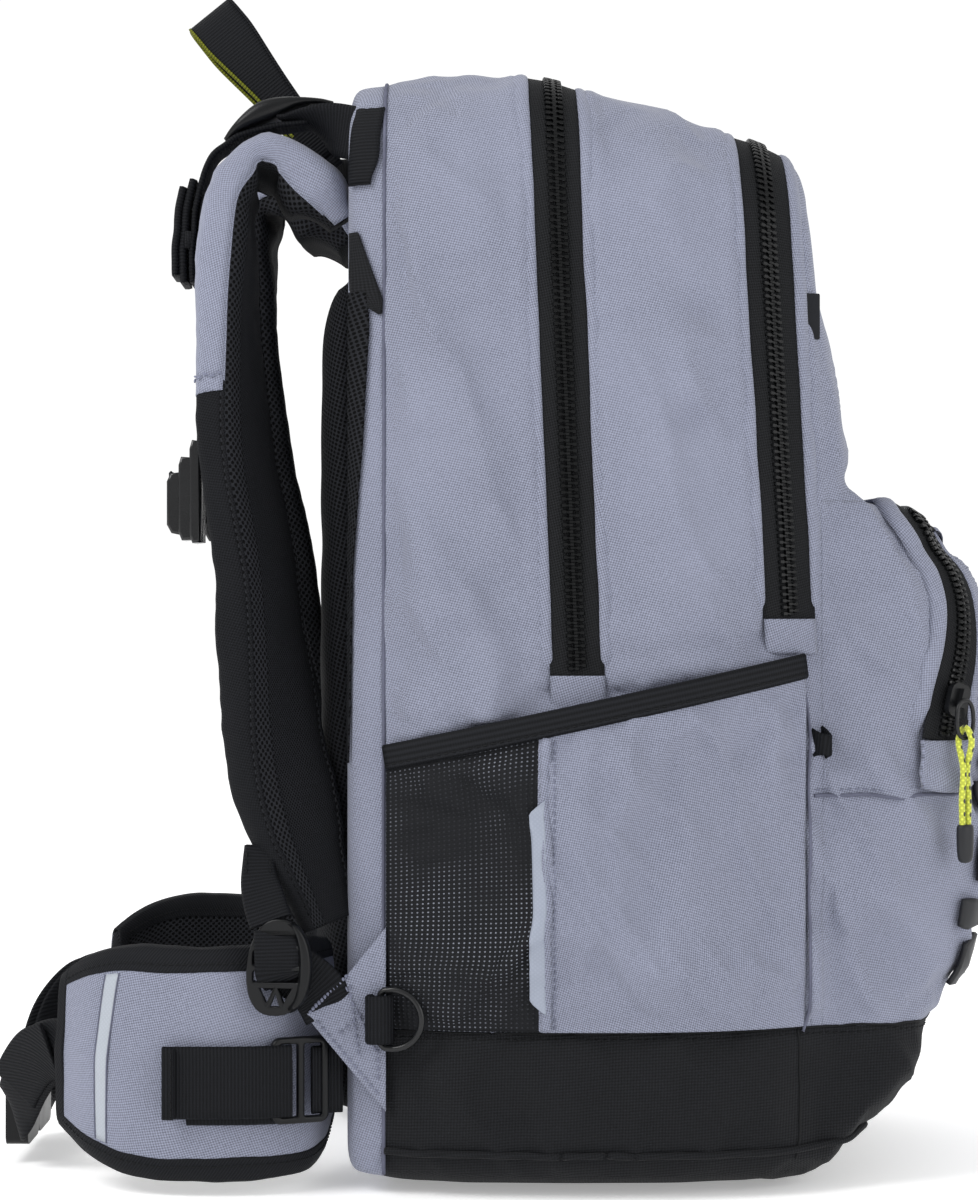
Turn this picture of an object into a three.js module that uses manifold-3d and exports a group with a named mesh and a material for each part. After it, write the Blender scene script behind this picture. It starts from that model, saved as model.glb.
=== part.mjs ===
// A ski backpack: two zipped compartments, a zipped front pocket, open side pockets,
// a padded back with shoulder harness, and a buckled hip belt.
// Millimetres. +Z is up, +X is the wearer's right, +Y is towards the wearer, -Y is the front.
// The origin is the centre of the flat base that the bag stands on.
import * as THREE from 'three';
import { LoftGeometry } from 'three/addons/geometries/LoftGeometry.js';
import { mergeVertices } from 'three/addons/utils/BufferGeometryUtils.js';
import Module from 'manifold-3d';

// ---------------------------------------------------------------- driving dimensions
const BAG_TOP = 519; // height of the flat back part of the top
const TOP_DROP = 36; // the top falls this much towards the front
const BACK_FACE = 103.5; // the back panel's outer face
const BACK_SEAM = 86; // the seam that joins the back panel to the main compartment
const FRONT_FACE = -118; // the front panel's face behind the front pocket
const MID_HALF_WIDTH = 139; // half the bag's width at its fullest
const END_HALF_WIDTH = 111; // half its width at the front and back faces
const BASE_TOP = 73; // the reinforced base ends here and the bag panels start
const GAP = 0.4; // clearance between two pieces that are sewn or rest together

const WEBBING = 1.8; // thickness of the webbing
const TAPE_WIDTH = 25; // zip tape, both halves
const CHAIN_WIDTH = 8.6; // closed zip teeth
const TAPE = 1; // thickness of the zip tape
const CHAIN = 2; // the closed teeth's height over the tape
const ZIP_OFFSET = 1; // the tape lies this far outside the bag's facets

const MAIN_ZIP_END = 236; // the zips' lower ends
const SECOND_ZIP_END = 262;
const STRAP_WIDTH = 64;
const STRAP_THICKNESS = 21;
const HIP_WEBBING_WIDTH = 32;
const STERNUM_HEIGHT = 323;
const HIP_BUCKLE = { x: -12, y: 268, z: 22 };

// ---------------------------------------------------------------- materials
const paint = (color, roughness, metalness = 0) =>
  new THREE.MeshStandardMaterial({ color, roughness, metalness });
const shellFabric = paint(0x9b9eaf, 0.8);
const darkFabric = paint(0x25262a, 0.85);
const meshFabric = paint(0x2e2f33, 0.95);
const webbing = paint(0x222327, 0.8);
const zipTape = paint(0x2c2d30, 0.75);
const plastic = paint(0x1d1e21, 0.4);
const metal = paint(0x2a2b2e, 0.35, 0.8);
const innerSheet = paint(0xc9ccd0, 0.6);
const limeCord = paint(0xd8e838, 0.7);

// ---------------------------------------------------------------- building helpers
const V = (x, y, z) => new THREE.Vector3(x, y, z);
const { lerp, smoothstep, clamp } = THREE.MathUtils;
const wasm = await Module();
wasm.setup();

const backpack = new THREE.Group();
backpack.name = 'ski_backpack';

function add(name, geometry, material, x = 0, y = 0, z = 0) {
  const mesh = new THREE.Mesh(geometry, material.clone());
  mesh.name = name;
  mesh.position.set(x, y, z);
  backpack.add(mesh);
  return mesh;
}

const loft = (sections) => new LoftGeometry(sections, { capStart: true, capEnd: true });

// Sections are swept along a path. `across` gives the section's width direction.
function sweep(points, across, sectionAt) {
  const last = points.length - 1;
  return loft(points.map((point, i) => {
    const along = points[Math.min(i + 1, last)].clone().sub(points[Math.max(i - 1, 0)]);
    along.normalize();
    const wide = typeof across === 'function' ? across(i / last) : across;
    const up = along.clone().cross(wide).normalize();
    const side = up.clone().cross(along);
    return sectionAt(i / last).map(([a, b]) =>
      point.clone().addScaledVector(side, a).addScaledVector(up, b));
  }));
}

const flatSection = (width, thickness) => [
  [-width / 2, -thickness / 2],
  [width / 2, -thickness / 2],
  [width / 2, thickness / 2],
  [-width / 2, thickness / 2],
];

// A rounded pad's section: a superellipse.
function padSection(width, thickness, power = 0.55, count = 14) {
  const bend = (value) => Math.sign(value) * Math.abs(value) ** power;
  return Array.from({ length: count }, (_, i) => {
    const angle = (i / count) * 2 * Math.PI;
    return [(width / 2) * bend(Math.cos(angle)), (thickness / 2) * bend(Math.sin(angle))];
  });
}

const curve = (points, count) =>
  new THREE.CatmullRomCurve3(points.map(([x, y, z]) => V(x, y, z)), false, 'centripetal')
    .getSpacedPoints(count);

const strip = (points, across, width, thickness) =>
  sweep(points, across, () => flatSection(width, thickness));

// An outline of (Y, Z) points, extruded along +X.
function plateAcrossX(outline, thickness, holes = []) {
  const shape = new THREE.Shape(outline.map(([y, z]) => new THREE.Vector2(y, z)));
  shape.holes = holes;
  const geometry = new THREE.ExtrudeGeometry(shape, {
    depth: thickness, bevelEnabled: false, curveSegments: 6,
  });
  const turned = new THREE.Matrix4().makeBasis(V(0, 1, 0), V(0, 0, 1), V(1, 0, 0));
  return geometry.applyMatrix4(turned);
}

function roundedBox(width, depth, height, radius) {
  const shape = roundedRectangle(width, height, radius);
  const geometry = new THREE.ExtrudeGeometry(shape, {
    depth, bevelEnabled: false, curveSegments: 3,
  });
  geometry.translate(0, 0, -depth / 2);
  return geometry.rotateX(Math.PI / 2);
}

function roundedRectangle(width, height, radius, Kind = THREE.Shape) {
  const [w, h] = [width / 2, height / 2];
  const path = new Kind();
  path.moveTo(-w + radius, -h);
  path.lineTo(w - radius, -h);
  path.absarc(w - radius, -h + radius, radius, -Math.PI / 2, 0);
  path.lineTo(w, h - radius);
  path.absarc(w - radius, h - radius, radius, 0, Math.PI / 2);
  path.lineTo(-w + radius, h);
  path.absarc(-w + radius, h - radius, radius, Math.PI / 2, Math.PI);
  path.lineTo(-w, -h + radius);
  path.absarc(-w + radius, -h + radius, radius, Math.PI, 1.5 * Math.PI);
  return path;
}

function solid(geometry) {
  const bare = geometry.index ? geometry.toNonIndexed() : geometry.clone();
  bare.deleteAttribute('normal');
  bare.deleteAttribute('uv');
  const merged = mergeVertices(bare, 1e-3);
  return new wasm.Manifold(new wasm.Mesh({
    numProp: 3,
    vertProperties: merged.attributes.position.array,
    triVerts: new Uint32Array(merged.index.array),
  }));
}

function geometryOf(manifold) {
  const { vertProperties, triVerts } = manifold.getMesh();
  const geometry = new THREE.BufferGeometry();
  geometry.setAttribute('position', new THREE.BufferAttribute(vertProperties, 3));
  geometry.setIndex(new THREE.BufferAttribute(triVerts, 1));
  geometry.computeVertexNormals();
  return geometry;
}

const cut = (geometry, ...tools) =>
  geometryOf(tools.reduce((left, tool) => left.subtract(solid(tool)), solid(geometry)));
const join = (geometry, ...others) =>
  geometryOf(others.reduce((sum, other) => sum.add(solid(other)), solid(geometry)));

// ---------------------------------------------------------------- the bag's outer form
// Half the bag's width at depth y and height z: full in the middle, narrower to the
// front, the back and the top.
function halfWidth(y, z) {
  const fromMiddle = Math.abs((y + 5) / 118);
  const plan = END_HALF_WIDTH + (MID_HALF_WIDTH - END_HALF_WIDTH) * (1 - fromMiddle ** 3);
  return plan * (1 - 0.1 * clamp((z - 200) / 320, 0, 1));
}

// The height of the top at depth y, with the rounded edge over the front panel.
function topHeight(y) {
  const fall = clamp((20 - y) / 125, 0, 1.2);
  const past = clamp(-97 - y, 0, 22);
  const rounded = 24 - Math.sqrt(24 ** 2 - past ** 2);
  return BAG_TOP - TOP_DROP * fall ** 1.1 - rounded;
}

// The planes where the bag's parts meet, as depth y at height z.
const mainZipPlane = (z) => 1.7 + 0.04 * (z - 372);
const secondZipPlane = (z) => -96.5 + 0.055 * (z - 372);
function frontFace(z) {
  const leaning = -113 - 0.12 * (484 - z);
  return lerp(FRONT_FACE, leaning, smoothstep(z, 255, 330));
}

const SIDE_STEPS = 8;
const CORNER_STEPS = 5;
const TOP_CORNER = 42;

// The bag's outline where the surface y = depth(z) cuts it, from the lower right corner
// up, over the top and down the left side. `offset` grows it outwards.
function bagOutline(depth, bottom, offset = 0) {
  const top = topHeight(depth(500)) + offset;
  const radius = TOP_CORNER + offset;
  const side = [];
  const point = (x, z) => side.push(V(x, depth(z), z));
  for (let i = 0; i <= SIDE_STEPS; i += 1) {
    const z = lerp(bottom, top - radius, i / SIDE_STEPS);
    point(halfWidth(depth(z), z) + offset, z);
  }
  const shoulder = side[SIDE_STEPS].x - radius;
  for (let i = 1; i <= CORNER_STEPS; i += 1) {
    const angle = (i / CORNER_STEPS) * (Math.PI / 2);
    point(shoulder + radius * Math.cos(angle), top - radius + radius * Math.sin(angle));
  }
  const otherSide = side.map((p) => V(-p.x, p.y, p.z)).reverse();
  return [...side, ...otherSide];
}

// A stuffed, closed part of the bag between two depths. A curved front face is closed by
// outlines that draw in to the middle.
function bagPart(back, front, bottom, steps = 4, curvedFront = false) {
  const sections = [];
  for (let i = 0; i <= steps; i += 1) {
    sections.push(bagOutline((z) => lerp(back(z), front(z), i / steps), bottom));
  }
  const drawnIn = curvedFront ? [0.6, 0.02] : [];
  return loft([
    ...sections,
    ...drawnIn.map((share) => sections[steps].map((p) => V(p.x * share, p.y, p.z))),
  ]);
}

add('main_compartment',
  bagPart(() => BACK_SEAM - 3.5, (z) => mainZipPlane(z) + GAP / 2, BASE_TOP), shellFabric);
add('second_compartment',
  bagPart((z) => mainZipPlane(z) - GAP / 2, (z) => secondZipPlane(z) + GAP / 2, BASE_TOP),
  shellFabric);
const frontPanel = bagPart((z) => secondZipPlane(z) - GAP / 2, frontFace, BASE_TOP, 4, true);
add('front_panel', frontPanel, shellFabric);
add('back_panel', bagPart(() => BACK_FACE, () => BACK_SEAM, 4, 2), shellFabric);

// A stiff sheet behind the back panel keeps the load off the wearer's back.
const sheet = roundedBox(200, 1.6, 400, 25);
add('frame_sheet', sheet, innerSheet, 0, BACK_SEAM - 1.8, 290);

// ---------------------------------------------------------------- base
// The base is a tray of heavy fabric: flat underneath, rising to the front pocket.
function baseHalfWidth(y) {
  const corner = clamp((-132 - y) / 44, 0, 1);
  return y < -118 ? 69 + 44 * Math.sqrt(1 - corner ** 2) : halfWidth(y, 0);
}

function baseSection(y) {
  const rise = clamp((-95 - y) / 77, 0, 1);
  const bottom = 68 * rise ** 3;
  const corner = 20;
  const right = [];
  for (let i = 0; i <= 4; i += 1) {
    const angle = (i / 4) * (Math.PI / 2);
    const x = baseHalfWidth(y) - corner + corner * Math.sin(angle);
    right.push(V(x, y, bottom + (corner - corner * Math.cos(angle)) * (1 - 0.6 * rise)));
  }
  right.push(V(baseHalfWidth(y), y, BASE_TOP - GAP));
  const left = right.map((p) => V(-p.x, p.y, p.z)).reverse();
  return [...right, ...left];
}
const baseDepths = [BACK_SEAM - GAP, 50, 0, -50, -90, -110, -122, -134, -145, -155, -162, -167];
add('base_panel', loft(baseDepths.map(baseSection)), darkFabric);

// ---------------------------------------------------------------- front pocket
// The pocket's front at height z: a full belly under a rounded top.
const POCKET_TOP = 318;
const POCKET_ROOT = -115.5; // inside the front panel, whose form is then cut away
function pocketFront(z) {
  const belly = -199 + 24 * clamp((225 - z) / 155, 0, 1) ** 1.8;
  const above = clamp((z - 225) / (POCKET_TOP - 225), 0, 1);
  return belly + 59 * above ** 4;
}
const pocketHalfWidth = (z) => 113 - 8 * clamp((z - 200) / 118, 0, 1) ** 2;

// The pocket's outline at height z, from its back right corner round the front.
// `offset` grows it outwards.
function pocketSection(z, offset = 0) {
  const back = POCKET_ROOT;
  const front = pocketFront(z) - offset;
  const half = pocketHalfWidth(z) + offset;
  const radius = Math.min(44, (back - front) * 0.85) + offset;
  const outline = [V(-half, back, z)];
  const steps = 6;
  for (let i = 0; i <= steps; i += 1) {
    const angle = (i / steps) * (Math.PI / 2);
    outline.push(V(
      -half + radius - radius * Math.cos(angle), front + radius - radius * Math.sin(angle), z,
    ));
  }
  const right = outline.map((p) => V(-p.x, p.y, p.z)).reverse();
  return [...outline, ...right];
}
const pocketHeights = [BASE_TOP, 110, 150, 190, 225, 250, 270, 285, 297, 307, 314, POCKET_TOP];
const pocketForm = loft(pocketHeights.map((z) => pocketSection(z)));
add('front_pocket', cut(pocketForm, frontPanel.toNonIndexed().translate(0, -GAP, 0)), shellFabric);

// ---------------------------------------------------------------- zips
// A zip is its tape with the closed chain of teeth standing on the middle.
const ZIP_SECTION = [
  [-TAPE_WIDTH / 2, 0],
  [TAPE_WIDTH / 2, 0],
  [TAPE_WIDTH / 2, TAPE],
  [CHAIN_WIDTH / 2, TAPE],
  [CHAIN_WIDTH / 2, TAPE + CHAIN],
  [-CHAIN_WIDTH / 2, TAPE + CHAIN],
  [-CHAIN_WIDTH / 2, TAPE],
  [-TAPE_WIDTH / 2, TAPE],
];
const zip = (points, across) => sweep(points, across, () => ZIP_SECTION);

// The bag's zips run up one side, over the top and down the other, following its form:
// each corner of the zip's section runs along an outline of its own.
function bagZip(plane, end) {
  const edges = ZIP_SECTION.map(([across, lift]) =>
    bagOutline((z) => plane(z) - across, end, ZIP_OFFSET + lift));
  return loft(edges[0].map((_, i) => edges.map((edge) => edge[i])));
}
add('main_zip', bagZip(mainZipPlane, MAIN_ZIP_END), zipTape);
add('second_zip', bagZip(secondZipPlane, SECOND_ZIP_END), zipTape);

// The pocket's zip is an arch round its front edge. It starts a third of the way round
// the corner and moves forward as it rises.
const ZIP_RISE = [[205, 28], [225, 32], [247, 40], [268, 46], [284, 52], [296, 58]];

// A point on the pocket's left corner, `turn` degrees round it, `offset` outside the form.
function pocketCorner(z, turn, offset) {
  const front = pocketFront(z);
  const radius = Math.min(44, (POCKET_ROOT - front) * 0.85);
  const angle = THREE.MathUtils.degToRad(turn);
  return V(
    -pocketHalfWidth(z) + radius - (radius + offset) * Math.cos(angle),
    front + radius - (radius + offset) * Math.sin(angle),
    z,
  );
}

function pocketZipPoints() {
  const left = ZIP_RISE.map(([z, turn]) => {
    const at = pocketCorner(z, turn, 2);
    const outside = pocketCorner(z, turn, 3).add(V(0, 0, z > 280 ? 0.5 : 0));
    return { at, out: outside.sub(at).normalize() };
  });
  left.push({ at: V(-84, -168, 308.5), out: V(-0.35, -0.55, 0.75).normalize() });
  left.push({ at: V(-60, -166, 313), out: V(0, -0.5, 0.86).normalize() });
  const right = left.map(({ at, out }) => ({
    at: V(-at.x, at.y, at.z), out: V(-out.x, out.y, out.z),
  }));
  return [...left, ...right.reverse()];
}
const pocketZip = pocketZipPoints();

function pocketZipGeometry() {
  const points = pocketZip.map(({ at }) => at);
  const acrossAt = (t) => {
    const i = Math.round(t * (points.length - 1));
    const along = points[Math.min(i + 1, points.length - 1)].clone()
      .sub(points[Math.max(i - 1, 0)]).normalize();
    return pocketZip[i].out.clone().cross(along).normalize();
  };
  return zip(points, acrossAt);
}
add('pocket_zip', pocketZipGeometry(), zipTape);

// A slider straddles the chain. Its pull hangs from the bridge on the slider's face.
const SLIDER = { width: 11.5, height: 16, thickness: 3.2 };
const SLIDER_GAP = 0.8;
const PULL_STANDOFF = 3.8; // from the slider's face to its pull

function sliderGeometry() {
  const body = new THREE.ExtrudeGeometry(
    roundedRectangle(SLIDER.width, SLIDER.height, 4),
    { depth: SLIDER.thickness, bevelEnabled: false, curveSegments: 4 },
  );
  const bridge = new THREE.BoxGeometry(3, 9, 3.4).translate(0, 1, SLIDER.thickness + 1.5);
  return join(body, bridge);
}

// A wire loop, flat in its own plane, hanging down from y = 0.
function pullLoop(width, length, wire) {
  const outer = roundedRectangle(width, length, width / 2 - 0.01);
  outer.holes = [roundedRectangle(
    width - 2 * wire, length - 2 * wire, width / 2 - wire - 0.01, THREE.Path,
  )];
  const loop = new THREE.ExtrudeGeometry(outer, {
    depth: wire, bevelEnabled: false, curveSegments: 6,
  });
  return loop.translate(0, -length / 2, 0);
}

// A slider's frame: its face points along `out`, its length along `along`.
function faceFrame(mesh, at, out, along) {
  const side = along.clone().cross(out).normalize();
  const up = out.clone().cross(side);
  mesh.matrixAutoUpdate = false;
  mesh.matrix.makeBasis(side, up, out).setPosition(at);
}

function bagSlider(name, plane, z) {
  const surface = (y, height) => V(halfWidth(y, height), y, height);
  const here = surface(plane(z), z);
  const along = surface(plane(z + 60), z + 60).sub(here).normalize();
  const across = surface(plane(z) + 10, z).sub(here);
  const out = across.cross(along).normalize();
  const face = ZIP_OFFSET + TAPE + CHAIN + SLIDER_GAP;
  const at = here.clone().addScaledVector(out, face);
  faceFrame(add(`${name}_slider`, sliderGeometry(), metal), at, out, along);
  const pullAt = at.clone().addScaledVector(out, SLIDER.thickness + PULL_STANDOFF)
    .addScaledVector(along, 3);
  faceFrame(add(`${name}_pull`, pullLoop(9, 26, 1.8), metal), pullAt, out, along);
}
bagSlider('main_zip', mainZipPlane, MAIN_ZIP_END + 16);
bagSlider('second_zip', secondZipPlane, SECOND_ZIP_END + 16);

// The pocket's slider is parked near the left end of its arch, with a cord pull on it.
const pocketStop = pocketZip[1];
const pocketAlong = pocketZip[2].at.clone().sub(pocketZip[1].at).normalize();
const pocketFace = pocketStop.at.clone()
  .addScaledVector(pocketStop.out, TAPE + CHAIN + SLIDER_GAP);
faceFrame(add('pocket_zip_slider', sliderGeometry(), metal),
  pocketFace, pocketStop.out, pocketAlong);

// The pocket's pull is a wire loop with a doubled cord and a moulded tip.
const CORD_PULL = { wire: 17, cord: 6, length: 44, tip: 18 };
function pocketPull() {
  const wire = pullLoop(10, CORD_PULL.wire, 1.8);
  const start = 5 - CORD_PULL.wire;
  const end = start - CORD_PULL.length;
  const cord = strip([V(0, start, 1), V(0, (start + end) / 2, 1.6), V(0, end, 0)], V(1, 0, 0),
    CORD_PULL.cord, CORD_PULL.cord);
  const tip = new THREE.CylinderGeometry(4.2, 4.6, CORD_PULL.tip, 10)
    .translate(0, end + 2 - CORD_PULL.tip / 2, 0);
  return join(wire, cord, tip);
}
const pocketPullAt = pocketFace.clone()
  .addScaledVector(pocketStop.out, SLIDER.thickness + PULL_STANDOFF);
faceFrame(add('pocket_zip_pull', pocketPull(), limeCord), pocketPullAt, pocketStop.out,
  V(0, 0, 1));

// ---------------------------------------------------------------- side pockets
// Everything below that comes in pairs is shaped on the wearer's left and mirrored.
function mirrored(geometry) {
  const copy = (geometry.index ? geometry.toNonIndexed() : geometry.clone()).scale(-1, 1, 1);
  const { array } = copy.attributes.position;
  for (let i = 0; i < array.length; i += 9) {
    for (let k = 0; k < 3; k += 1) {
      [array[i + 3 + k], array[i + 6 + k]] = [array[i + 6 + k], array[i + 3 + k]];
    }
  }
  copy.computeVertexNormals();
  return copy;
}

function pair(name, geometry, material) {
  add(`${name}_left`, geometry, material);
  add(`${name}_right`, mirrored(geometry), material);
}

const POCKET_SPLIT = 11; // the mesh half ends here and the fabric half starts
const POCKET_WALL = 2;
const POCKET_BACK = BACK_SEAM - 1;
const POCKET_FRONT = -110;
const POCKET_FLOOR = BASE_TOP;
const HEM_HEIGHT = 12;
const hemLine = (y) => 205 + 0.217 * (BACK_SEAM - y);

// How far the pocket stands off the bag's side: full in the middle, flat at its seams.
const pocketDepth = (y) => 3 + 9 * (1 - ((y + 12.5) / 98) ** 2);

// A wall of the left side between two depths and two distances from the bag's side.
function sideSlab(back, front, near, far, bottom, top) {
  const sections = [];
  const steps = Math.ceil(Math.abs(back - front) / 14);
  for (let i = 0; i <= steps; i += 1) {
    const y = lerp(back, front, i / steps);
    const [inner, outer] = [-halfWidth(y, 0) - near(y), -halfWidth(y, 0) - far(y)];
    sections.push([
      V(outer, y, bottom(y)), V(inner, y, bottom(y)), V(inner, y, top(y)), V(outer, y, top(y)),
    ]);
  }
  return loft(sections);
}

function pocketWall(back, front, hollowBack, hollowFront) {
  const outside = sideSlab(
    back, front, () => GAP, pocketDepth, () => POCKET_FLOOR, hemLine,
  );
  const hollow = sideSlab(
    hollowBack, hollowFront, () => -6, (y) => pocketDepth(y) - POCKET_WALL,
    () => POCKET_FLOOR + POCKET_WALL, (y) => hemLine(y) + 9,
  );
  return cut(outside, hollow);
}
const PAST = 5; // how far a cutting tool runs past a face
pair('side_pocket_mesh', pocketWall(
  POCKET_BACK, POCKET_SPLIT + GAP / 2, POCKET_BACK - POCKET_WALL, POCKET_SPLIT - PAST,
), meshFabric);
pair('side_pocket_panel', pocketWall(
  POCKET_SPLIT - GAP / 2, POCKET_FRONT, POCKET_SPLIT + PAST, POCKET_FRONT + POCKET_WALL,
), shellFabric);
pair('side_pocket_hem', sideSlab(
  POCKET_BACK, POCKET_FRONT, (y) => pocketDepth(y) + 0.8, (y) => pocketDepth(y) + 2.4,
  (y) => hemLine(y) - HEM_HEIGHT, hemLine,
), webbing);

// ---------------------------------------------------------------- padded back
function backPad(x, width, bottom, top, thickness) {
  const points = curve([
    [x, BACK_FACE + GAP + thickness / 2, bottom],
    [x, BACK_FACE + GAP + thickness / 2, top],
  ], 6);
  return sweep(points, V(1, 0, 0), (t) => {
    const taper = 1 - 0.3 * Math.abs(2 * t - 1) ** 6;
    return padSection(width * taper, thickness * taper);
  });
}
pair('back_pad', backPad(-58, 74, 138, 424, 14.5), meshFabric);
add('lumbar_pad', backPad(0, 122, 22, 126, 20), meshFabric);

// ---------------------------------------------------------------- haul handle
const HANDLE_LEAN = THREE.MathUtils.degToRad(39); // it leans this far back from upright
const HANDLE_REACH = 96;
const HANDLE_HALF = 22;
const HANDLE_BASE = { y: 117, z: 492 };

function haulHandle() {
  const up = V(0, Math.sin(HANDLE_LEAN), Math.cos(HANDLE_LEAN));
  const wide = V(0, Math.cos(HANDLE_LEAN), -Math.sin(HANDLE_LEAN));
  const points = [];
  const steps = 20;
  for (let i = 0; i <= steps; i += 1) {
    const t = (i / steps) * 2 - 1;
    const rise = HANDLE_REACH * (1 - Math.abs(t) ** 3.2);
    points.push(V(HANDLE_HALF * Math.sin(t * 1.35) / Math.sin(1.35), HANDLE_BASE.y, HANDLE_BASE.z)
      .addScaledVector(up, rise));
  }
  return sweep(points, wide, (t) => {
    const end = smoothstep(Math.abs(2 * t - 1), 0.55, 1);
    return flatSection(lerp(26, 14, end), 2.4);
  });
}
add('haul_handle', haulHandle(), webbing);

// ---------------------------------------------------------------- shoulder straps
// The left strap's middle line, from the top seam over the shoulder to its lower end.
const strapLine = curve([
  [-62, 107.5, 455], [-64, 119, 472], [-66, 141, 483], [-70, 158, 469], [-75, 163, 443],
  [-84, 160, 391], [-92, 156, 343], [-99, 148, 296], [-104, 143, 248], [-108, 137, 202],
  [-111, 128, 165], [-113, 115, 128],
], 22);

// The strap's outer edge turns towards the wearer as it comes down.
function strapAcross(t) {
  const turn = THREE.MathUtils.degToRad(20 * smoothstep(t, 0.2, 0.75));
  return V(-Math.cos(turn), Math.sin(turn), 0);
}

function strapSection(t) {
  const start = smoothstep(t, 0, 0.08);
  const end = smoothstep(t, 0.74, 1);
  const width = STRAP_WIDTH * lerp(0.9, 1, start) * lerp(1, 0.42, end);
  const thickness = STRAP_THICKNESS * lerp(0.25, 1, start) * lerp(1, 0.34, end);
  return padSection(width, thickness, 0.5);
}

// A webbing tab is sewn on the strap's lower end and holds the lower lock.
const lowerTabLine = curve([
  [-115, 138, 176], [-122, 143, 163], [-131, 143, 148], [-138, 137, 128],
], 6);
const lowerTab = strip(lowerTabLine, V(0.1, 1, 0.2), 22, WEBBING);
pair('shoulder_strap', join(sweep(strapLine, strapAcross, strapSection), lowerTab), shellFabric);

// ---------------------------------------------------------------- load lifters
// A ladder lock: a plate with two slots that leave a bar, and a thumb tongue at its end.
function ladderLock(width, length, thickness) {
  const shape = roundedRectangle(width, length, width * 0.3);
  const slot = (middle) => {
    const hole = roundedRectangle(width - 7, length * 0.13, 1.2, THREE.Path);
    const points = hole.getPoints(2).map((p) => p.add(new THREE.Vector2(0, middle)));
    return new THREE.Path(points);
  };
  shape.holes = [slot(length * 0.34), slot(length * 0.1), slot(-length * 0.14)];
  const plate = new THREE.ExtrudeGeometry(shape, {
    depth: thickness, bevelEnabled: false, curveSegments: 3,
  });
  return plate.translate(0, 0, -thickness / 2);
}

const LIFTER = { x: -70, bar: { y: 119, z: 505.5 }, length: 46, width: 29 };
const lifterLock = ladderLock(LIFTER.width, LIFTER.length, 3.4)
  .rotateZ(Math.PI)
  .translate(0, LIFTER.length * 0.34, 0)
  .rotateX(-0.1)
  .translate(LIFTER.x, LIFTER.bar.y, LIFTER.bar.z);
pair('load_lifter_lock', lifterLock, plastic);

// The lifter's anchor webbing turns flat as it comes from the bag's corner to the lock.
const lifterAnchorLine = curve([
  [-95, 107, 487], [-88, 108, 492], [-79, 109, 500], [-71, 109.8, 506],
], 8);
const lifterTurn = (t) => V(-smoothstep(t, 0, 1), 0, 1.02 - smoothstep(t, 0, 1)).normalize();
pair('load_lifter_anchor',
  sweep(lifterAnchorLine, lifterTurn, () => flatSection(22, WEBBING)), webbing);

// The lifter's tail: sewn to the strap under the lock, its folded end hanging in front.
const lifterTailLine = curve([
  [-70, 151, 493], [-70, 164, 489], [-72, 176, 478], [-73, 181.5, 460], [-75, 183, 424],
], 10);
pair('load_lifter_tail', sweep(lifterTailLine, V(-1, 0, 0), (t) =>
  flatSection(25, lerp(WEBBING, 8, smoothstep(t, 0.45, 0.75)))), webbing);

// ---------------------------------------------------------------- lower adjusters
const LOWER_LOCK = { x: -138.5, y: 134, bar: 117, width: 28, length: 45 };
const lowerLock = ladderLock(LOWER_LOCK.width, LOWER_LOCK.length, 3.4)
  .rotateX(Math.PI / 2)
  .rotateZ(-Math.PI / 2)
  .translate(LOWER_LOCK.x, LOWER_LOCK.y, LOWER_LOCK.bar - LOWER_LOCK.length * 0.34);
pair('lower_lock', lowerLock, plastic);

// The grey corner sewn into the back seam takes the strap's lower webbing.
const ANCHOR_PLANE = -129.8;
const anchorOutline = [[121, 79], [103, 95.5], [86.5, 115], [86.5, 38]];
const anchor = plateAcrossX(anchorOutline, 2.4).translate(ANCHOR_PLANE, 0, 0);
pair('strap_anchor', anchor, shellFabric);

const lowerWebbingLine = [V(-132, 113, 88), V(-134.5, 121, 96), V(-135.5, 127, 103)];
pair('lower_webbing', strip(lowerWebbingLine, V(0, -0.73, 0.68), 25, WEBBING), webbing);

// ---------------------------------------------------------------- gear rings
const RING = { x: -136.7, y: 87, z: 79.5, wire: 3.6, half: 13.5, reach: 20, turn: 0.27 };

function dOutline(grow, Kind) {
  const path = new Kind();
  const half = RING.half + grow;
  path.moveTo(grow, -half);
  path.lineTo(grow, half);
  path.lineTo(-6, half);
  path.absellipse(-6, 0, RING.reach - 6 + grow, half, Math.PI / 2, 1.5 * Math.PI, false, 0);
  return path;
}

function gearRing() {
  const shape = dOutline(RING.wire / 2, THREE.Shape);
  const outline = shape.getPoints(8).map((p) => [p.x, p.y]);
  const hole = dOutline(-RING.wire / 2, THREE.Path);
  return plateAcrossX(outline, RING.wire, [hole])
    .translate(-RING.wire / 2, 0, 0)
    .rotateZ(-RING.turn)
    .translate(RING.x, RING.y, RING.z);
}
pair('gear_ring', gearRing(), metal);

const ringTab = cut(
  new THREE.BoxGeometry(8.2, 12, 21).translate(RING.x, RING.y + 1.5, RING.z),
  new THREE.BoxGeometry(6, 6, 31).translate(RING.x, RING.y, RING.z),
);
pair('gear_ring_tab', ringTab, webbing);

// ---------------------------------------------------------------- sternum strap
const STERNUM_PLANE = 187;
const STERNUM_CLIP = { x: -94, y: 178.5, width: 26, height: 40, depth: 13 };
const STERNUM_BUCKLE = { half: 24, depth: 10, height: 26 };

const clip = new THREE.ExtrudeGeometry(
  roundedRectangle(STERNUM_CLIP.width, STERNUM_CLIP.height, 5),
  { depth: STERNUM_CLIP.depth, bevelEnabled: false, curveSegments: 3 },
).rotateX(Math.PI / 2)
  .translate(STERNUM_CLIP.x, STERNUM_CLIP.y + STERNUM_CLIP.depth / 2, STERNUM_HEIGHT);
pair('sternum_clip', clip, plastic);

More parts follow.
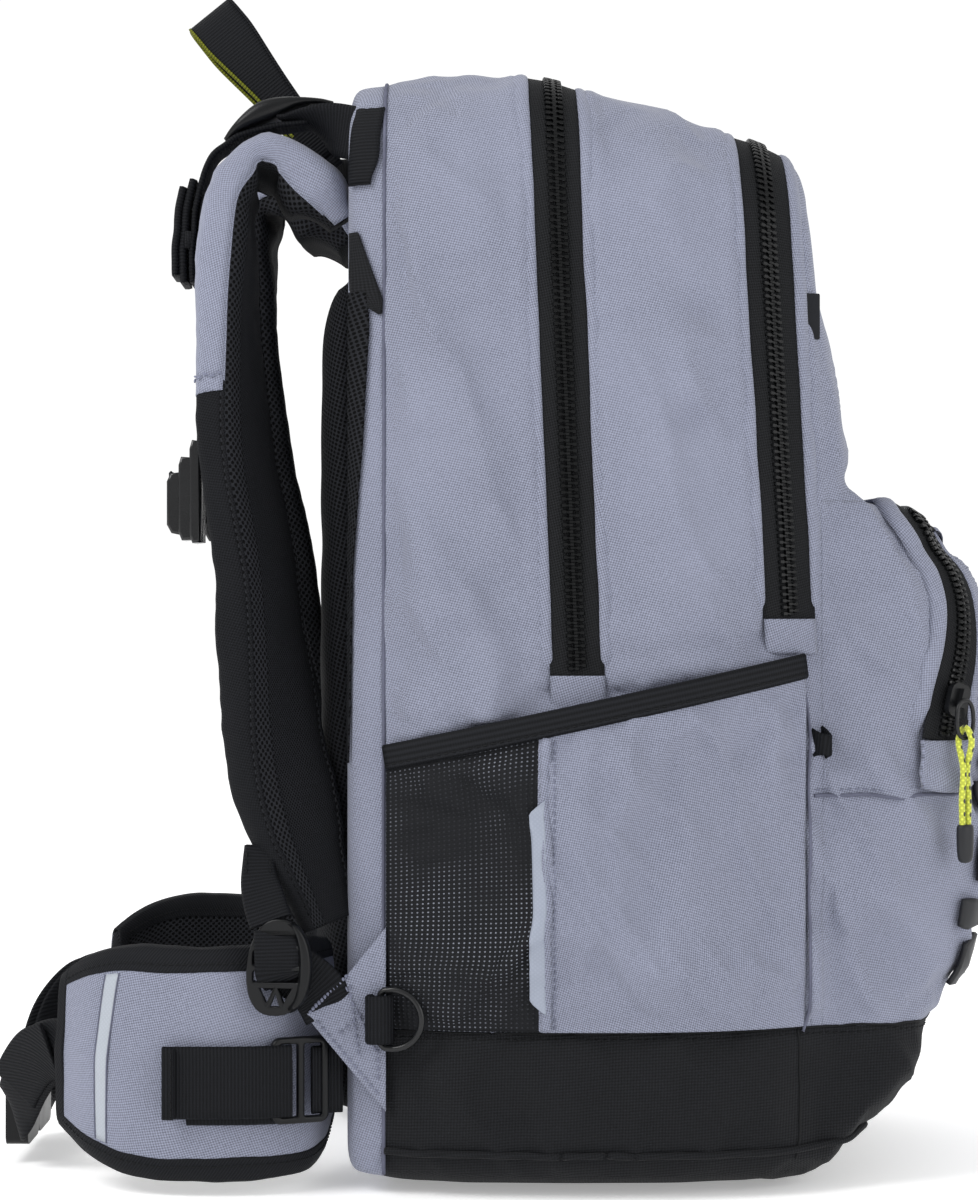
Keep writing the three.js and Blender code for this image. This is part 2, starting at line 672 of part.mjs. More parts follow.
// Each half of the webbing crosses its clip's face and ends at the buckle.
const sternumLine = [
  V(STERNUM_CLIP.x - 6, STERNUM_PLANE, STERNUM_HEIGHT),
  V(STERNUM_CLIP.x / 2, STERNUM_PLANE + 1, STERNUM_HEIGHT),
  V(-STERNUM_BUCKLE.half - GAP, STERNUM_PLANE, STERNUM_HEIGHT),
];
pair('sternum_webbing', strip(sternumLine, V(0, 0, 1), 20, WEBBING), webbing);

// A side-release buckle. The housing is open towards the wearer's left, and its two
// side windows take the prongs' catches. The prongs slide in along X.
function buckleHousing(length, depth, height) {
  const shell = roundedBox(length, depth, height, 5);
  const throat = new THREE.BoxGeometry(length - 6, depth - 3.2, height - 6)
    .translate(-6, 0, 0);
  return cut(shell, throat);
}

function bucklePlug(length, depth, height) {
  const head = roundedBox(length, depth, height, 5);
  const tongue = length * 0.62;
  const prong = new THREE.BoxGeometry(tongue + 2, depth - 4.6, 4);
  const reach = length / 2 + tongue / 2 - 1;
  const prongs = [-1, 1].map((side) =>
    prong.clone().translate(reach, 0, side * (height / 2 - 6)));
  const guide = prong.clone().translate(reach, 0, 0);
  return join(head, ...prongs, guide);
}

function buckle(name, at, length, depth, height) {
  add(`${name}_housing`, buckleHousing(length, depth, height), plastic,
    at.x + length / 2 + GAP / 2, at.y, at.z);
  add(`${name}_plug`, bucklePlug(length * 0.9, depth, height), plastic,
    at.x - length * 0.45 - GAP / 2, at.y, at.z);
}
buckle('sternum_buckle', V(1, STERNUM_PLANE, STERNUM_HEIGHT),
  STERNUM_BUCKLE.half - 1, STERNUM_BUCKLE.depth, STERNUM_BUCKLE.height);

// ---------------------------------------------------------------- hip belt
const HIP_RIGHT_LIFT = 10; // the belt's right half sits this much higher
const HIP_PAD = 14;
const STABILISER_HEIGHT = 49;

function hipWing(lift) {
  const line = curve([
    [-64, 119, 62], [-90, 122, 60], [-112, 130, 58], [-123, 151, 57], [-123.5, 182, 57],
    [-113, 214, 59], [-94, 238, 60],
  ].map(([x, y, z]) => [x, y, z + lift]), 16);
  return sweep(line, V(0, 0, -1), (t) => {
    const end = smoothstep(t, 0.72, 1);
    const start = smoothstep(t, 0, 0.2);
    return padSection(lerp(92, 106, start) * lerp(1, 0.6, end), HIP_PAD * lerp(1, 0.6, end), 0.6);
  });
}
add('hip_wing_left', hipWing(0), shellFabric);
add('hip_wing_right', mirrored(hipWing(HIP_RIGHT_LIFT)), shellFabric);

// The stabiliser webbing runs from the bag's side forward over the wing.
const stabiliserLine = (lift) => [
  [-119, 105], [-121, 113], [-124.5, 121], [-128.5, 131], [-132.2, 145], [-133.2, 160],
  [-132.8, 186],
].map(([x, y]) => V(x, y, STABILISER_HEIGHT + lift));
const stabiliser = (lift) => strip(stabiliserLine(lift), V(0, 0, -1), HIP_WEBBING_WIDTH, WEBBING);
add('hip_stabiliser_left', stabiliser(0), webbing);
add('hip_stabiliser_right', mirrored(stabiliser(HIP_RIGHT_LIFT)), webbing);

// The slider that grips the stabiliser webbing stands over it, with the webbing inside.
function stabiliserSlider(lift) {
  const slider = cut(
    new THREE.BoxGeometry(6.4, 22, 37),
    new THREE.BoxGeometry(4.4, 40, 33.2),
  );
  return slider.rotateZ(0.26).translate(-129.4, 134, STABILISER_HEIGHT + lift);
}
add('hip_slider_left', stabiliserSlider(0), plastic);
add('hip_slider_right', mirrored(stabiliserSlider(HIP_RIGHT_LIFT)), plastic);

const HIP_BUCKLE_SIZE = { length: 40, depth: 11, height: 34 };
const BELT_CLEAR = 3.6; // from a webbing's end to its buckle
const leftBeltLine = curve([
  [-86, 248.5, 60], [-75, 257, 48], [-64, 264, 30], [-58, 267.5, 23],
  [HIP_BUCKLE.x - HIP_BUCKLE_SIZE.length * 0.9 - BELT_CLEAR, HIP_BUCKLE.y, HIP_BUCKLE.z],
], 8);
const rightBeltLine = curve([
  [86, 246.5, 70], [74, 257, 66], [57, 265, 43], [46, 267.5, 25],
  [HIP_BUCKLE.x + HIP_BUCKLE_SIZE.length + BELT_CLEAR, HIP_BUCKLE.y, HIP_BUCKLE.z],
], 8);

add('hip_belt_webbing_left', strip(leftBeltLine, V(0, 0, -1), 30, WEBBING), webbing);
add('hip_belt_webbing_right', strip(rightBeltLine, V(0, 0, -1), 30, WEBBING), webbing);
buckle('hip_buckle', V(HIP_BUCKLE.x, HIP_BUCKLE.y, HIP_BUCKLE.z),
  HIP_BUCKLE_SIZE.length, HIP_BUCKLE_SIZE.depth, HIP_BUCKLE_SIZE.height);

export default backpack;
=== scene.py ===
"""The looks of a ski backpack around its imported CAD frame.

Metres. +Z is up, +X is the wearer's right, +Y is towards the wearer, -Y is the front.
Paired pieces are shaped on the wearer's left and then mirrored.
"""
import math

import bmesh
import bpy
import numpy as np
from mathutils import Matrix, Vector, noise
from mathutils.bvhtree import BVHTree


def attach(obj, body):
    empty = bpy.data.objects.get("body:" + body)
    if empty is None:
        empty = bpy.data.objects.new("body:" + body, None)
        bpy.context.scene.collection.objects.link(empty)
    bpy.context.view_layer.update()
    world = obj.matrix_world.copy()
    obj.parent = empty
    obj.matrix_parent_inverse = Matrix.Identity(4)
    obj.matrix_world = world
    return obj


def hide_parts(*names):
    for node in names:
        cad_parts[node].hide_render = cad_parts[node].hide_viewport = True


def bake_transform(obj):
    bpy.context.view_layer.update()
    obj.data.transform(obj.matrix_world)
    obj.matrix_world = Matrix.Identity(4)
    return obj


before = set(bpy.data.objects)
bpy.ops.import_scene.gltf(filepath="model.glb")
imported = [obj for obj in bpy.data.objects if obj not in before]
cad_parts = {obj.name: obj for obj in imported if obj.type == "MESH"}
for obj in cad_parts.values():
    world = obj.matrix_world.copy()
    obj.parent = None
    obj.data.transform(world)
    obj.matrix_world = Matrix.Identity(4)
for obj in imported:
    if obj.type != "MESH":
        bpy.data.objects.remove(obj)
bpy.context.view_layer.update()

scene = bpy.context.scene
scene.view_settings.view_transform = "Standard"

X = np.array([1.0, 0.0, 0.0])
Y = np.array([0.0, 1.0, 0.0])
Z = np.array([0.0, 0.0, 1.0])

# ------------------------------------------------------------------ driving dimensions
BACK_SEAM = 0.086
FRONT_FACE = -0.118
MID_HALF_WIDTH = 0.139
END_HALF_WIDTH = 0.111
BAG_TOP = 0.519
TOP_DROP = 0.036
TOP_CORNER = 0.042
BASE_TOP = 0.073
BASE_PIPING = 0.017
POCKET_TOP = 0.318
POCKET_ROOT = -0.1155
POCKET_FRONT = -0.110
POCKET_SIDE = -0.1185
SPLIT = 0.011
HEM_HEIGHT = 0.012
TAPE_HALF = 0.0125
TOOTH_PITCH = 0.003
MAIN_ZIP_END = 0.236
SECOND_ZIP_END = 0.262
POCKET_CUT = POCKET_TOP + 0.001
POCKET_FLOOR = BASE_TOP + 0.001
CROSS_SEAM = 0.180
STRAP_COVER_END = 0.408
VOXEL = 0.0055
WEB_WIDTH = 0.0255
WEB_THICK = 0.0024
THIN_WEB = 0.002
ANCHOR_SIDE = 0.1318
STABILISER_HEIGHT = 0.0495
PAD_ROOT = 0.1038
BASE_ROUND = (-0.13, 0.046)
BAG_MIDDLE = np.array([0.0, 0.0, 0.25])
FOLD_EDGE = TAPE_HALF + 0.0004
ACROSS_TAPE = np.linspace(-TAPE_HALF, TAPE_HALF, 9)


# ------------------------------------------------------------------ numbers and paths
def mm(points):
    return np.array(points) / 1000


def clamp(value, low=0.0, high=1.0):
    return np.clip(value, low, high)


def smoothstep(value, low, high):
    t = clamp((value - low) / (high - low))
    return t * t * (3 - 2 * t)


def hump(value, middle, spread):
    return np.exp(-((value - middle) / spread) ** 2)


def unit(v):
    v = np.asarray(v, float)
    return v / np.maximum(np.linalg.norm(v, axis=-1, keepdims=True), 1e-12)


def arc_lengths(points):
    steps = np.linalg.norm(np.diff(points, axis=0), axis=1)
    return np.concatenate([[0.0], np.cumsum(steps)])


def columns(*values):
    return np.stack(values, axis=1)


def read_at(at, stations, values):
    """Rows of `values`, known at `stations`, read at `at`."""
    return columns(*[np.interp(at, stations, column) for column in np.asarray(values).T])


def resample(points, count):
    """`count` points evenly spaced along a polyline."""
    lengths = arc_lengths(points)
    return read_at(np.linspace(0, lengths[-1], count), lengths, points)


def smooth_path(points, count):
    """An even, smooth curve through the points (Catmull-Rom)."""
    p = np.asarray(points, float)
    ends = np.vstack([2 * p[0] - p[1], p, 2 * p[-1] - p[-2]])
    t = np.linspace(0, 1, 12, endpoint=False)[:, None]
    curve = [0.5 * (2 * b + (c - a) * t + (2 * a - 5 * b + 4 * c - d) * t**2
             + (3 * b - a - 3 * c + d) * t**3)
             for a, b, c, d in zip(ends[:-3], ends[1:-2], ends[2:-1], ends[3:])]
    return resample(np.vstack([*curve, p[-1:]]), count)


def tangents(points):
    return unit(np.gradient(points, axis=0))


def ripple(points, seed, scale):
    """Smooth noise from -1 to 1 at each point, the same on each run."""
    points = np.asarray(points, float)
    shift = Vector((seed * 7.13, seed * 3.71, seed * 5.37))
    values = [noise.noise(Vector(p) * scale + shift) for p in points.reshape(-1, 3)]
    return np.array(values).reshape(points.shape[:-1])


# ------------------------------------------------------------------ the bag's form
def half_width(y, z):
    away = np.abs((y + 0.005) / 0.118)
    plan = END_HALF_WIDTH + (MID_HALF_WIDTH - END_HALF_WIDTH) * (1 - away**3)
    return plan * (1 - 0.1 * clamp((z - 0.2) / 0.32))


def top_height(y):
    fall = clamp((0.020 - y) / 0.125, 0, 1.2)
    past = clamp(-0.097 - y, 0, 0.022)
    rounded = 0.024 - np.sqrt(0.024**2 - past**2)
    return BAG_TOP - TOP_DROP * fall**1.1 - rounded


def main_zip_plane(z):
    return 0.0017 + 0.04 * (z - 0.372)


def second_zip_plane(z):
    return -0.0965 + 0.055 * (z - 0.372)


def bag_outline(plane, bottom, offset=0.0, shift=0.0, count=500):
    """The bag's outline where y = plane(z) + shift cuts it: up the right side, over the
    top and down the left side."""
    top = float(top_height(plane(0.5) + shift)) + offset
    radius = TOP_CORNER + offset
    z = np.linspace(bottom, top - radius, 120)
    depth = plane(z) + shift
    side = columns(half_width(depth, z) + offset, depth, z)
    angle = np.linspace(0, math.pi / 2, 40)[1:]
    z = top - radius + radius * np.sin(angle)
    corner = columns(side[-1, 0] - radius + radius * np.cos(angle), plane(z) + shift, z)
    right = np.vstack([side, corner])
    return resample(np.vstack([right, (right * [-1, 1, 1])[::-1]]), count)


def pocket_front(z):
    belly = -0.199 + 0.024 * clamp((0.225 - z) / 0.155) ** 1.8
    return belly + 0.059 * clamp((z - 0.225) / (POCKET_TOP - 0.225)) ** 4


def pocket_corner(z, turn, offset):
    """A point `turn` degrees round the pocket's left corner, `offset` outside its form."""
    front = pocket_front(z)
    radius = min(0.044, (POCKET_ROOT - front) * 0.85)
    angle = math.radians(turn)
    half = 0.113 - 0.008 * clamp((z - 0.2) / 0.118) ** 2
    x = half - radius + (radius + offset) * math.cos(angle)
    return np.array([-x, front + radius - (radius + offset) * math.sin(angle), z])


def hem_line(y):
    """The top of a side pocket, which rises towards the front."""
    return 0.205 + 0.217 * (BACK_SEAM - y)


# ------------------------------------------------------------------ meshes
def linked(name, data):
    obj = bpy.data.objects.new(name, data)
    scene.collection.objects.link(obj)
    return obj


def new_object(name, verts, faces, uvs=None):
    """A mesh object. `uvs` holds one (u, v) in metres for each corner of each face."""
    mesh = bpy.data.meshes.new(name)
    mesh.from_pydata([tuple(v) for v in verts], [], [tuple(f) for f in faces])
    if uvs is not None:
        layer = mesh.uv_layers.new(name="weave")
        layer.data.foreach_set("uv", np.asarray(uvs, np.float32).ravel())
    mesh.polygons.foreach_set("use_smooth", [True] * len(mesh.polygons))
    mesh.update()
    return linked(name, mesh)


def read(items, key, width=3, kind=float):
    """One property of all of a mesh's items, `width` numbers for each."""
    values = np.zeros(len(items) * width, kind)
    items.foreach_get(key, values)
    return values.reshape(-1, width)


def coords(obj):
    return read(obj.data.vertices, "co")


def set_coords(obj, co):
    obj.data.vertices.foreach_set("co", np.asarray(co, float).ravel())
    obj.data.update()


def evaluated_mesh(obj):
    graph = bpy.context.evaluated_depsgraph_get()
    return bpy.data.meshes.new_from_object(obj.evaluated_get(graph))


def apply_modifiers(obj):
    old = obj.data
    mesh = evaluated_mesh(obj)
    mesh.name = obj.name
    obj.modifiers.clear()
    obj.data = mesh
    bpy.data.meshes.remove(old)
    return obj


def subdivide(obj):
    obj.modifiers.new("subdivide", "SUBSURF").levels = 1
    return apply_modifiers(obj)


def backed(obj, thickness=0.0012):
    """Gives a skin its cloth's thickness, inwards."""
    solidify = obj.modifiers.new("backing", "SOLIDIFY")
    solidify.thickness = thickness
    solidify.offset = -1
    return apply_modifiers(obj)


def grid(name, points, closed=False, caps=False):
    """A mesh over rows of points, each row running the same way. `closed` joins each
    row's end to its start."""
    points = np.asarray(points, float)
    rows, cols = points.shape[:2]
    u = np.mean([arc_lengths(points[:, k]) for k in range(0, cols, max(1, cols // 8))], axis=0)
    ring = np.concatenate([points, points[:, :1]], axis=1) if closed else points
    v = np.mean([arc_lengths(r) for r in ring[:: max(1, rows // 8)]], axis=0)
    faces, uvs = [], []
    for i in range(rows - 1):
        for j in range(cols if closed else cols - 1):
            k = (j + 1) % cols
            faces.append((i * cols + j, i * cols + k, (i + 1) * cols + k, (i + 1) * cols + j))
            uvs += [(u[i], v[j]), (u[i], v[j + 1]), (u[i + 1], v[j + 1]), (u[i + 1], v[j])]
    if caps:
        first = list(range(cols))[::-1]
        faces += [first, [(rows - 1) * cols + j for j in range(cols)]]
        uvs += [(0.0, v[j]) for j in first] + [(u[-1], v[j]) for j in range(cols)]
    return new_object(name, points.reshape(-1, 3), faces, uvs)


def patch(name, points, thickness):
    """A piece of cloth over rows of points."""
    return backed(grid(name, points), thickness)


def sections_along(points, across, sections):
    """Sections of (across, out) points, one for all or one each, set along a path."""
    t = tangents(points)
    out = unit(np.cross(t, np.broadcast_to(np.asarray(across, float), points.shape)))
    side = unit(np.cross(out, t))
    return points[:, None] + side[:, None] * sections[..., :1] + out[:, None] * sections[..., 1:]


def sweep(name, points, across, sections):
    """A closed section swept along a path, with its ends shut."""
    rows = sections_along(np.asarray(points, float), across, np.asarray(sections, float))
    return grid(name, rows, closed=True, caps=True)


def flat_section(width, thickness, steps=8):
    """A strip's section with rounded edges."""
    half, rim = width / 2, thickness / 2
    top = [(x, rim) for x in np.linspace(half - rim, -half + rim, steps)]
    return [(half, 0.0), *top, (-half, 0.0), *[(-x, -z) for x, z in top]]


def flat_sections(widths, thickness, steps=8):
    return np.array([flat_section(w, thickness, steps) for w in widths])


def strip(name, points, across, width, thickness, steps=8):
    return sweep(name, points, across, flat_section(width, thickness, steps))


def round_section(radius, count=10):
    angle = np.linspace(0, 2 * math.pi, count, endpoint=False)
    return columns(radius * np.cos(angle), radius * np.sin(angle))


def tube(name, points, radius, count=6, across=None):
    points = np.asarray(points, float)
    if across is None:
        t = tangents(points).mean(0)
        across = unit(np.cross(t, Z if abs(unit(t)[2]) < 0.8 else Y))
    return sweep(name, points, across, round_section(radius, count))


def ring_faces(rings, count):
    """Faces of a tube of rings of points, shut at both ends."""
    faces = [(i * count + j, i * count + (j + 1) % count, (i + 1) * count + (j + 1) % count,
              (i + 1) * count + j) for i in range(rings - 1) for j in range(count)]
    first, last = tuple(range(count)), (rings - 1) * count
    return faces + [first[::-1], tuple(last + j for j in first)]


def many(name, shape, places, frames):
    """Copies of one small shape, given in its own (side, along, out) axes."""
    verts, faces = shape
    placed = places[:, None] + np.einsum("mi,kij->kmj", np.asarray(verts, float), frames)
    all_faces = [[i + k * len(verts) for i in face] for k in range(len(places)) for face in faces]
    return new_object(name, placed.reshape(-1, 3), all_faces)


def join(name, pieces):
    """Several meshes as one."""
    bpy.ops.object.select_all(action="DESELECT")
    for piece in pieces:
        piece.select_set(True)
    bpy.context.view_layer.objects.active = pieces[0]
    bpy.ops.object.join()
    pieces[0].name = name
    pieces[0].data.name = name
    return pieces[0]


# ------------------------------------------------------------------ small shapes
def capsule(length, radius, count=6):
    """A stitch: a thread that goes into the cloth at both ends."""
    rings = [(-0.5, 0.35, -0.6), (-0.32, 0.9, 0.1), (0.0, 1.0, 0.45), (0.32, 0.9, 0.1),
             (0.5, 0.35, -0.6)]
    angle = np.linspace(0, 2 * math.pi, count, endpoint=False)
    verts = [(radius * size * math.cos(a), length * at, radius * (lift + size * math.sin(a)))
             for at, size, lift in rings for a in angle]
    return verts, ring_faces(len(rings), count)


def tooth():
    """Half of a moulded zip's chain: a block on the tape with a head that interlocks."""
    stations = [(-1.1, 0.42, 0.6), (-0.8, 0.56, 0.9), (0.6, 0.56, 1.0), (1.3, 0.34, 1.0),
                (1.9, 0.36, 1.0), (2.4, 0.62, 1.0), (4.0, 0.62, 0.95), (4.4, 0.5, 0.6)]
    corner = 0.0003
    verts = []
    for across, wide, tall in stations:
        at, w, h = across / 1000, TOOTH_PITCH / 2 * wide, 0.0024 * tall
        verts += [(at, -w, 0.0), (at, w, 0.0), (at, w, h - corner), (at, w - corner, h),
                  (at, -w + corner, h), (at, -w, h - corner)]
    return verts, ring_faces(len(stations), 6)


# ------------------------------------------------------------------ materials
def srgb(r, g, b):
    """A colour given as 0 to 255, made linear."""
    return (*[((v / 255 + 0.055) / 1.055) ** 2.4 if v > 10 else v / 255 / 12.92
              for v in (r, g, b)], 1.0)


def tint(color, share):
    return (*[min(1.0, c * share) for c in color[:3]], 1.0)


class Graph:
    """A material's node tree, built by short calls."""

    def __init__(self, name, roughness, sheen=0.0, specular=0.5):
        self.material = bpy.data.materials.new(name)
        self.material.use_nodes = True
        self.tree = self.material.node_tree
        self.shader = self.tree.nodes["Principled BSDF"]
        for key, value in (("Roughness", roughness), ("Sheen Weight", sheen),
                           ("Sheen Roughness", 0.5), ("Specular IOR Level", specular)):
            self.set(key, value)

    def node(self, kind, inputs=(), **props):
        node = self.tree.nodes.new(kind)
        for key, value in props.items():
            setattr(node, key, value)
        for key, value in dict(inputs).items():
            self.put(node.inputs[key], value)
        return node

    def put(self, socket, value):
        if isinstance(value, bpy.types.NodeSocket):
            self.tree.links.new(value, socket)
        else:
            socket.default_value = value

    def set(self, key, value):
        self.put(self.shader.inputs[key], value)

    def math(self, operation, a, b=0.0, c=0.0):
        return self.node("ShaderNodeMath", {0: a, 1: b, 2: c}, operation=operation).outputs[0]

    def product(self, a, b):
        return self.math("MULTIPLY", a, b)

    def blend(self, a, share, b):
        return self.math("MULTIPLY_ADD", a, share, b)

    def wave(self, phase):
        """0 to 1, once for each 2 pi of the phase."""
        return self.blend(self.math("COSINE", phase), 0.5, 0.5)

    def mix(self, factor, a, b):
        node = self.node("ShaderNodeMix", data_type="RGBA")
        for index, value in ((0, factor), (6, a), (7, b)):
            self.put(node.inputs[index], value)
        return node.outputs[2]

    def noise(self, scale, detail=2.0):
        place = self.node("ShaderNodeTexCoord").outputs["Object"]
        return self.node("ShaderNodeTexNoise", {"Vector": place, "Scale": scale,
                         "Detail": detail, "Roughness": 0.55}).outputs["Fac"]

    def step(self, value, low, high):
        return self.node("ShaderNodeMapRange",
                         {"Value": value, "From Min": low, "From Max": high}).outputs[0]

    def uv(self, pitch_u, pitch_v, turn=0.0):
        """Phases of 2 pi for each pitch along the cloth's own axes, turned by an angle."""
        pin = self.node("ShaderNodeUVMap", uv_map="weave").outputs[0]
        parts = self.node("ShaderNodeSeparateXYZ", {0: pin})
        u, v = parts.outputs[0], parts.outputs[1]
        c, s = math.cos(turn), math.sin(turn)
        return (self.product(self.blend(u, c, self.product(v, -s)), 2 * math.pi / pitch_u),
                self.product(self.blend(u, s, self.product(v, c)), 2 * math.pi / pitch_v))

    def bump(self, height, distance, strength=1.0, under=None):
        node = self.node("ShaderNodeBump",
                         {"Height": height, "Distance": distance, "Strength": strength})
        if under is not None:
            self.put(node.inputs["Normal"], under)
        self.set("Normal", node.outputs[0])
        return node.outputs[0]


def woven(name, color, pitch=0.0017, turn=0.5, contrast=0.45, depth=0.0003, rough=0.82,
          sheen=0.0, specular=0.1):
    """Closely woven polyester: floats that pass over each other on a slanting grid."""
    g = Graph(name, rough, sheen, specular)
    u, v = g.uv(pitch, pitch * 0.9, turn)
    floats = g.blend(g.product(g.math("COSINE", u), g.math("COSINE", v)), 0.5, 0.5)
    yarn = g.noise(900.0)
    tone = g.blend(g.step(yarn, 0.3, 0.7), 0.2, g.product(floats, 0.8))
    cloth = g.mix(tone, tint(color, 1 - contrast * 1.6), tint(color, 1 + contrast * 0.6))
    worn = g.product(g.step(g.noise(9.0), 0.45, 0.75), 0.35)
    g.set("Base Color", g.mix(worn, cloth, tint(color, 1.1)))
    g.set("Roughness", g.blend(yarn, 0.14, rough - 0.07))
    g.bump(yarn, depth * 0.4, 0.25, g.bump(floats, depth, 0.55))
    return g.material


def ribbed(name, color, pitch, along=False, slant=0.0, depth=0.0004, rough=0.62):
    """Webbing or elastic: ribs across it, or along it, with a fine cross yarn."""
    g = Graph(name, rough, 0.0, 0.1)
    u, v = g.uv(pitch, pitch, slant)
    fine_u, fine_v = g.uv(pitch * 0.45, pitch * 0.45, slant)
    height = g.blend(g.wave(fine_u if along else fine_v), 0.25,
                     g.product(g.wave(v if along else u), 0.75))
    lint = g.noise(1500.0)
    tone = g.blend(lint, 0.3, g.product(height, 0.7))
    g.set("Base Color", g.mix(tone, tint(color, 0.3), tint(color, 1.9)))
    g.set("Roughness", g.blend(lint, 0.2, rough - 0.1))
    g.bump(height, depth, 0.8)
    return g.material


def spacer_mesh(name, color, pitch, hole=0.5, depth=0.0008, light=1.5, turn=0.0):
    """Knitted spacer mesh: rows of oval holes, each row shifted by half a pitch; the holes hold
    painted shade.
    """
    g = Graph(name, 0.85, 0.0, 0.1)
    u, v = g.uv(pitch, pitch * 0.8, turn)
    shifted = [g.wave(g.math("ADD", phase, math.pi)) for phase in (u, v)]
    holes = g.math("MAXIMUM", g.product(g.wave(u), g.wave(v)), g.product(*shifted))
    opening = g.step(holes, hole, min(0.95, hole + 0.3))
    fuzz = g.noise(1800.0)
    yarn = g.mix(fuzz, tint(color, 0.6), tint(color, light))
    # The holes are painted near black: painted shade inside them.
    g.set("Base Color", g.mix(opening, yarn, tint(color, 0.12)))
    g.bump(g.blend(fuzz, 0.25, g.math("SUBTRACT", 1.0, opening)), depth, 0.9)
    return g.material


def see_through_mesh(name, color, dots):
    """Pocket mesh: columns of small holes that show the lighter bag in patches."""
    g = Graph(name, 0.7, 0.0, 0.15)
    u, v = g.uv(0.0021, 0.00255)
    hole = g.step(g.product(g.wave(u), g.wave(v)), 0.62, 0.86)
    patches = g.step(g.noise(24.0), 0.42, 0.66)
    shown = g.product(hole, g.blend(patches, 0.85, 0.06))
    knit = g.mix(g.noise(2200.0), tint(color, 0.6), tint(color, 1.5))
    g.set("Base Color", g.mix(shown, knit, dots))
    rib_u, rib_v = g.uv(0.00105, 0.00255)
    knit_height = g.blend(g.wave(rib_u), 0.4, g.wave(rib_v))
    g.bump(g.math("SUBTRACT", knit_height, hole), 0.0003, 0.6)
    return g.material


def moulded(name, color, rough=0.34, grain=900.0, specular=0.2):
    """Moulded plastic, rubber, thread or lacquer: a fine grain and paler patches laid by noise.
    """
    g = Graph(name, rough, 0.0, specular)
    grain_value = g.noise(grain, 3.0)
    smear = g.noise(60.0, 3.0)
    # Paler patches where a coarse noise is high, in random places.
    paler_patches = g.product(g.step(smear, 0.4, 0.8), 0.5)
    g.set("Base Color", g.mix(paler_patches, color, tint(color, 1.8)))
    g.set("Roughness", g.blend(smear, 0.18, rough - 0.09))
    g.bump(grain_value, 0.00008, 0.5)
    return g.material


def braided(name, color, fleck):
    """Cord: a braid of slanting strands with dark tracer flecks."""
    g = Graph(name, 0.7, 0.3, 0.3)
    u, v = g.uv(0.0026, 0.0031)
    strand = g.product(g.wave(g.math("ADD", u, v)), g.wave(g.math("SUBTRACT", u, v)))
    fleck_u, fleck_v = g.uv(0.0062, 0.0047)
    flecks = g.step(g.product(g.wave(fleck_u), g.wave(fleck_v)), 0.66, 0.74)
    g.set("Base Color", g.mix(flecks, g.mix(strand, tint(color, 0.55), color), fleck))
    g.bump(strand, 0.0003, 0.7)
    return g.material


def reflective(name, color):
    """Retroreflective tape: a pale, slightly glassy film over a fine grid."""
    g = Graph(name, 0.42)
    u, v = g.uv(0.0014, 0.0014, 0.785)
    lines = g.product(g.wave(u), g.wave(v))
    tone = g.blend(lines, 0.5, g.product(g.noise(70.0, 4.0), 0.5))
    g.set("Base Color", g.mix(tone, tint(color, 0.82), color))
    g.bump(lines, 0.00006, 0.5)
    return g.material


grey_cloth = woven("grey_cloth", srgb(135, 139, 157), sheen=0.15, specular=0.25)
black_cloth = woven("black_cloth", srgb(27, 28, 31), 0.0021, 0.8, 0.55, 0.0005, sheen=0.03,
                    specular=0.15)
strap_cloth = woven("strap_cloth", srgb(26, 27, 30), 0.0018, 1.2, 0.5, 0.0004)
zip_tape = woven("zip_tape", srgb(30, 31, 33), 0.0018, 0.55, 0.55, 0.0004, rough=0.7)
webbing = ribbed("webbing", srgb(18, 19, 22), 0.0016)
belt_webbing = ribbed("belt_webbing", srgb(18, 19, 22), 0.0017, slant=0.7)
elastic = ribbed("elastic", srgb(21, 22, 25), 0.0027, along=True)
binding = ribbed("binding", srgb(21, 22, 25), 0.0012, slant=0.6, depth=0.00025)
lime_edge = ribbed("lime_edge", srgb(90, 94, 22), 0.0016)
coarse_mesh = spacer_mesh("coarse_mesh", srgb(30, 31, 34), 0.0036, hole=0.42, light=2.2)
pad_mesh = spacer_mesh("pad_mesh", srgb(30, 31, 34), 0.0030, hole=0.4, light=1.9, turn=0.45)
fine_mesh = spacer_mesh("fine_mesh", srgb(29, 30, 33), 0.0022, depth=0.0005)
pocket_mesh = see_through_mesh("pocket_mesh", srgb(20, 21, 24), srgb(128, 132, 142))
plastic = moulded("plastic", srgb(11, 12, 14), specular=0.22)
gloss_plastic = moulded("gloss_plastic", srgb(14, 15, 17), 0.22, specular=0.4)
rubber = moulded("rubber", srgb(30, 31, 34), 0.5, 1500.0, 0.3)
lacquer = moulded("lacquer", srgb(14, 15, 17), 0.3, specular=0.35)
teeth_plastic = moulded("teeth_plastic", srgb(9, 10, 11), 0.3, specular=0.18)
lime_cloth = braided("lime_cord", srgb(222, 230, 84), srgb(38, 40, 34))
reflective_tape = reflective("reflective_tape", srgb(166, 172, 181))
reflective_tab = reflective("reflective_tab", srgb(146, 153, 168))
grey_thread = moulded("grey_thread", srgb(106, 109, 126), 0.8, 3000.0)
black_thread = moulded("black_thread", srgb(14, 15, 17), 0.7, 3000.0)
seam_shadow = moulded("seam_shadow", srgb(88, 90, 105), 0.85, 3000.0, 0.1)
hidden_sheet = moulded("hidden_sheet", srgb(190, 193, 198), 0.55, specular=0.5)


# ------------------------------------------------------------------ finishing pieces
def dressed(obj, material):
    obj.data.materials.clear()
    obj.data.materials.append(material)
    return obj


def finish(obj, material, body="bag", replaces=(), slot=None):
    """Gives a piece its material and body. `slot` is not used. A body is a name; given
    anything else, such as two bodies and two points, the piece is only fixed in place."""
    dressed(obj, material)
    if isinstance(body, str):
        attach(obj, body)
    else:
        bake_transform(obj)
    if replaces:
        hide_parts(*replaces)
    return obj


def mirror_copy(obj, name):
    """The right-hand copy of a left-hand piece."""
    mesh = obj.data.copy()
    mesh.name = name
    mesh.transform(Matrix.Diagonal((-1, 1, 1, 1)))
    mesh.flip_normals()
    return linked(name, mesh)


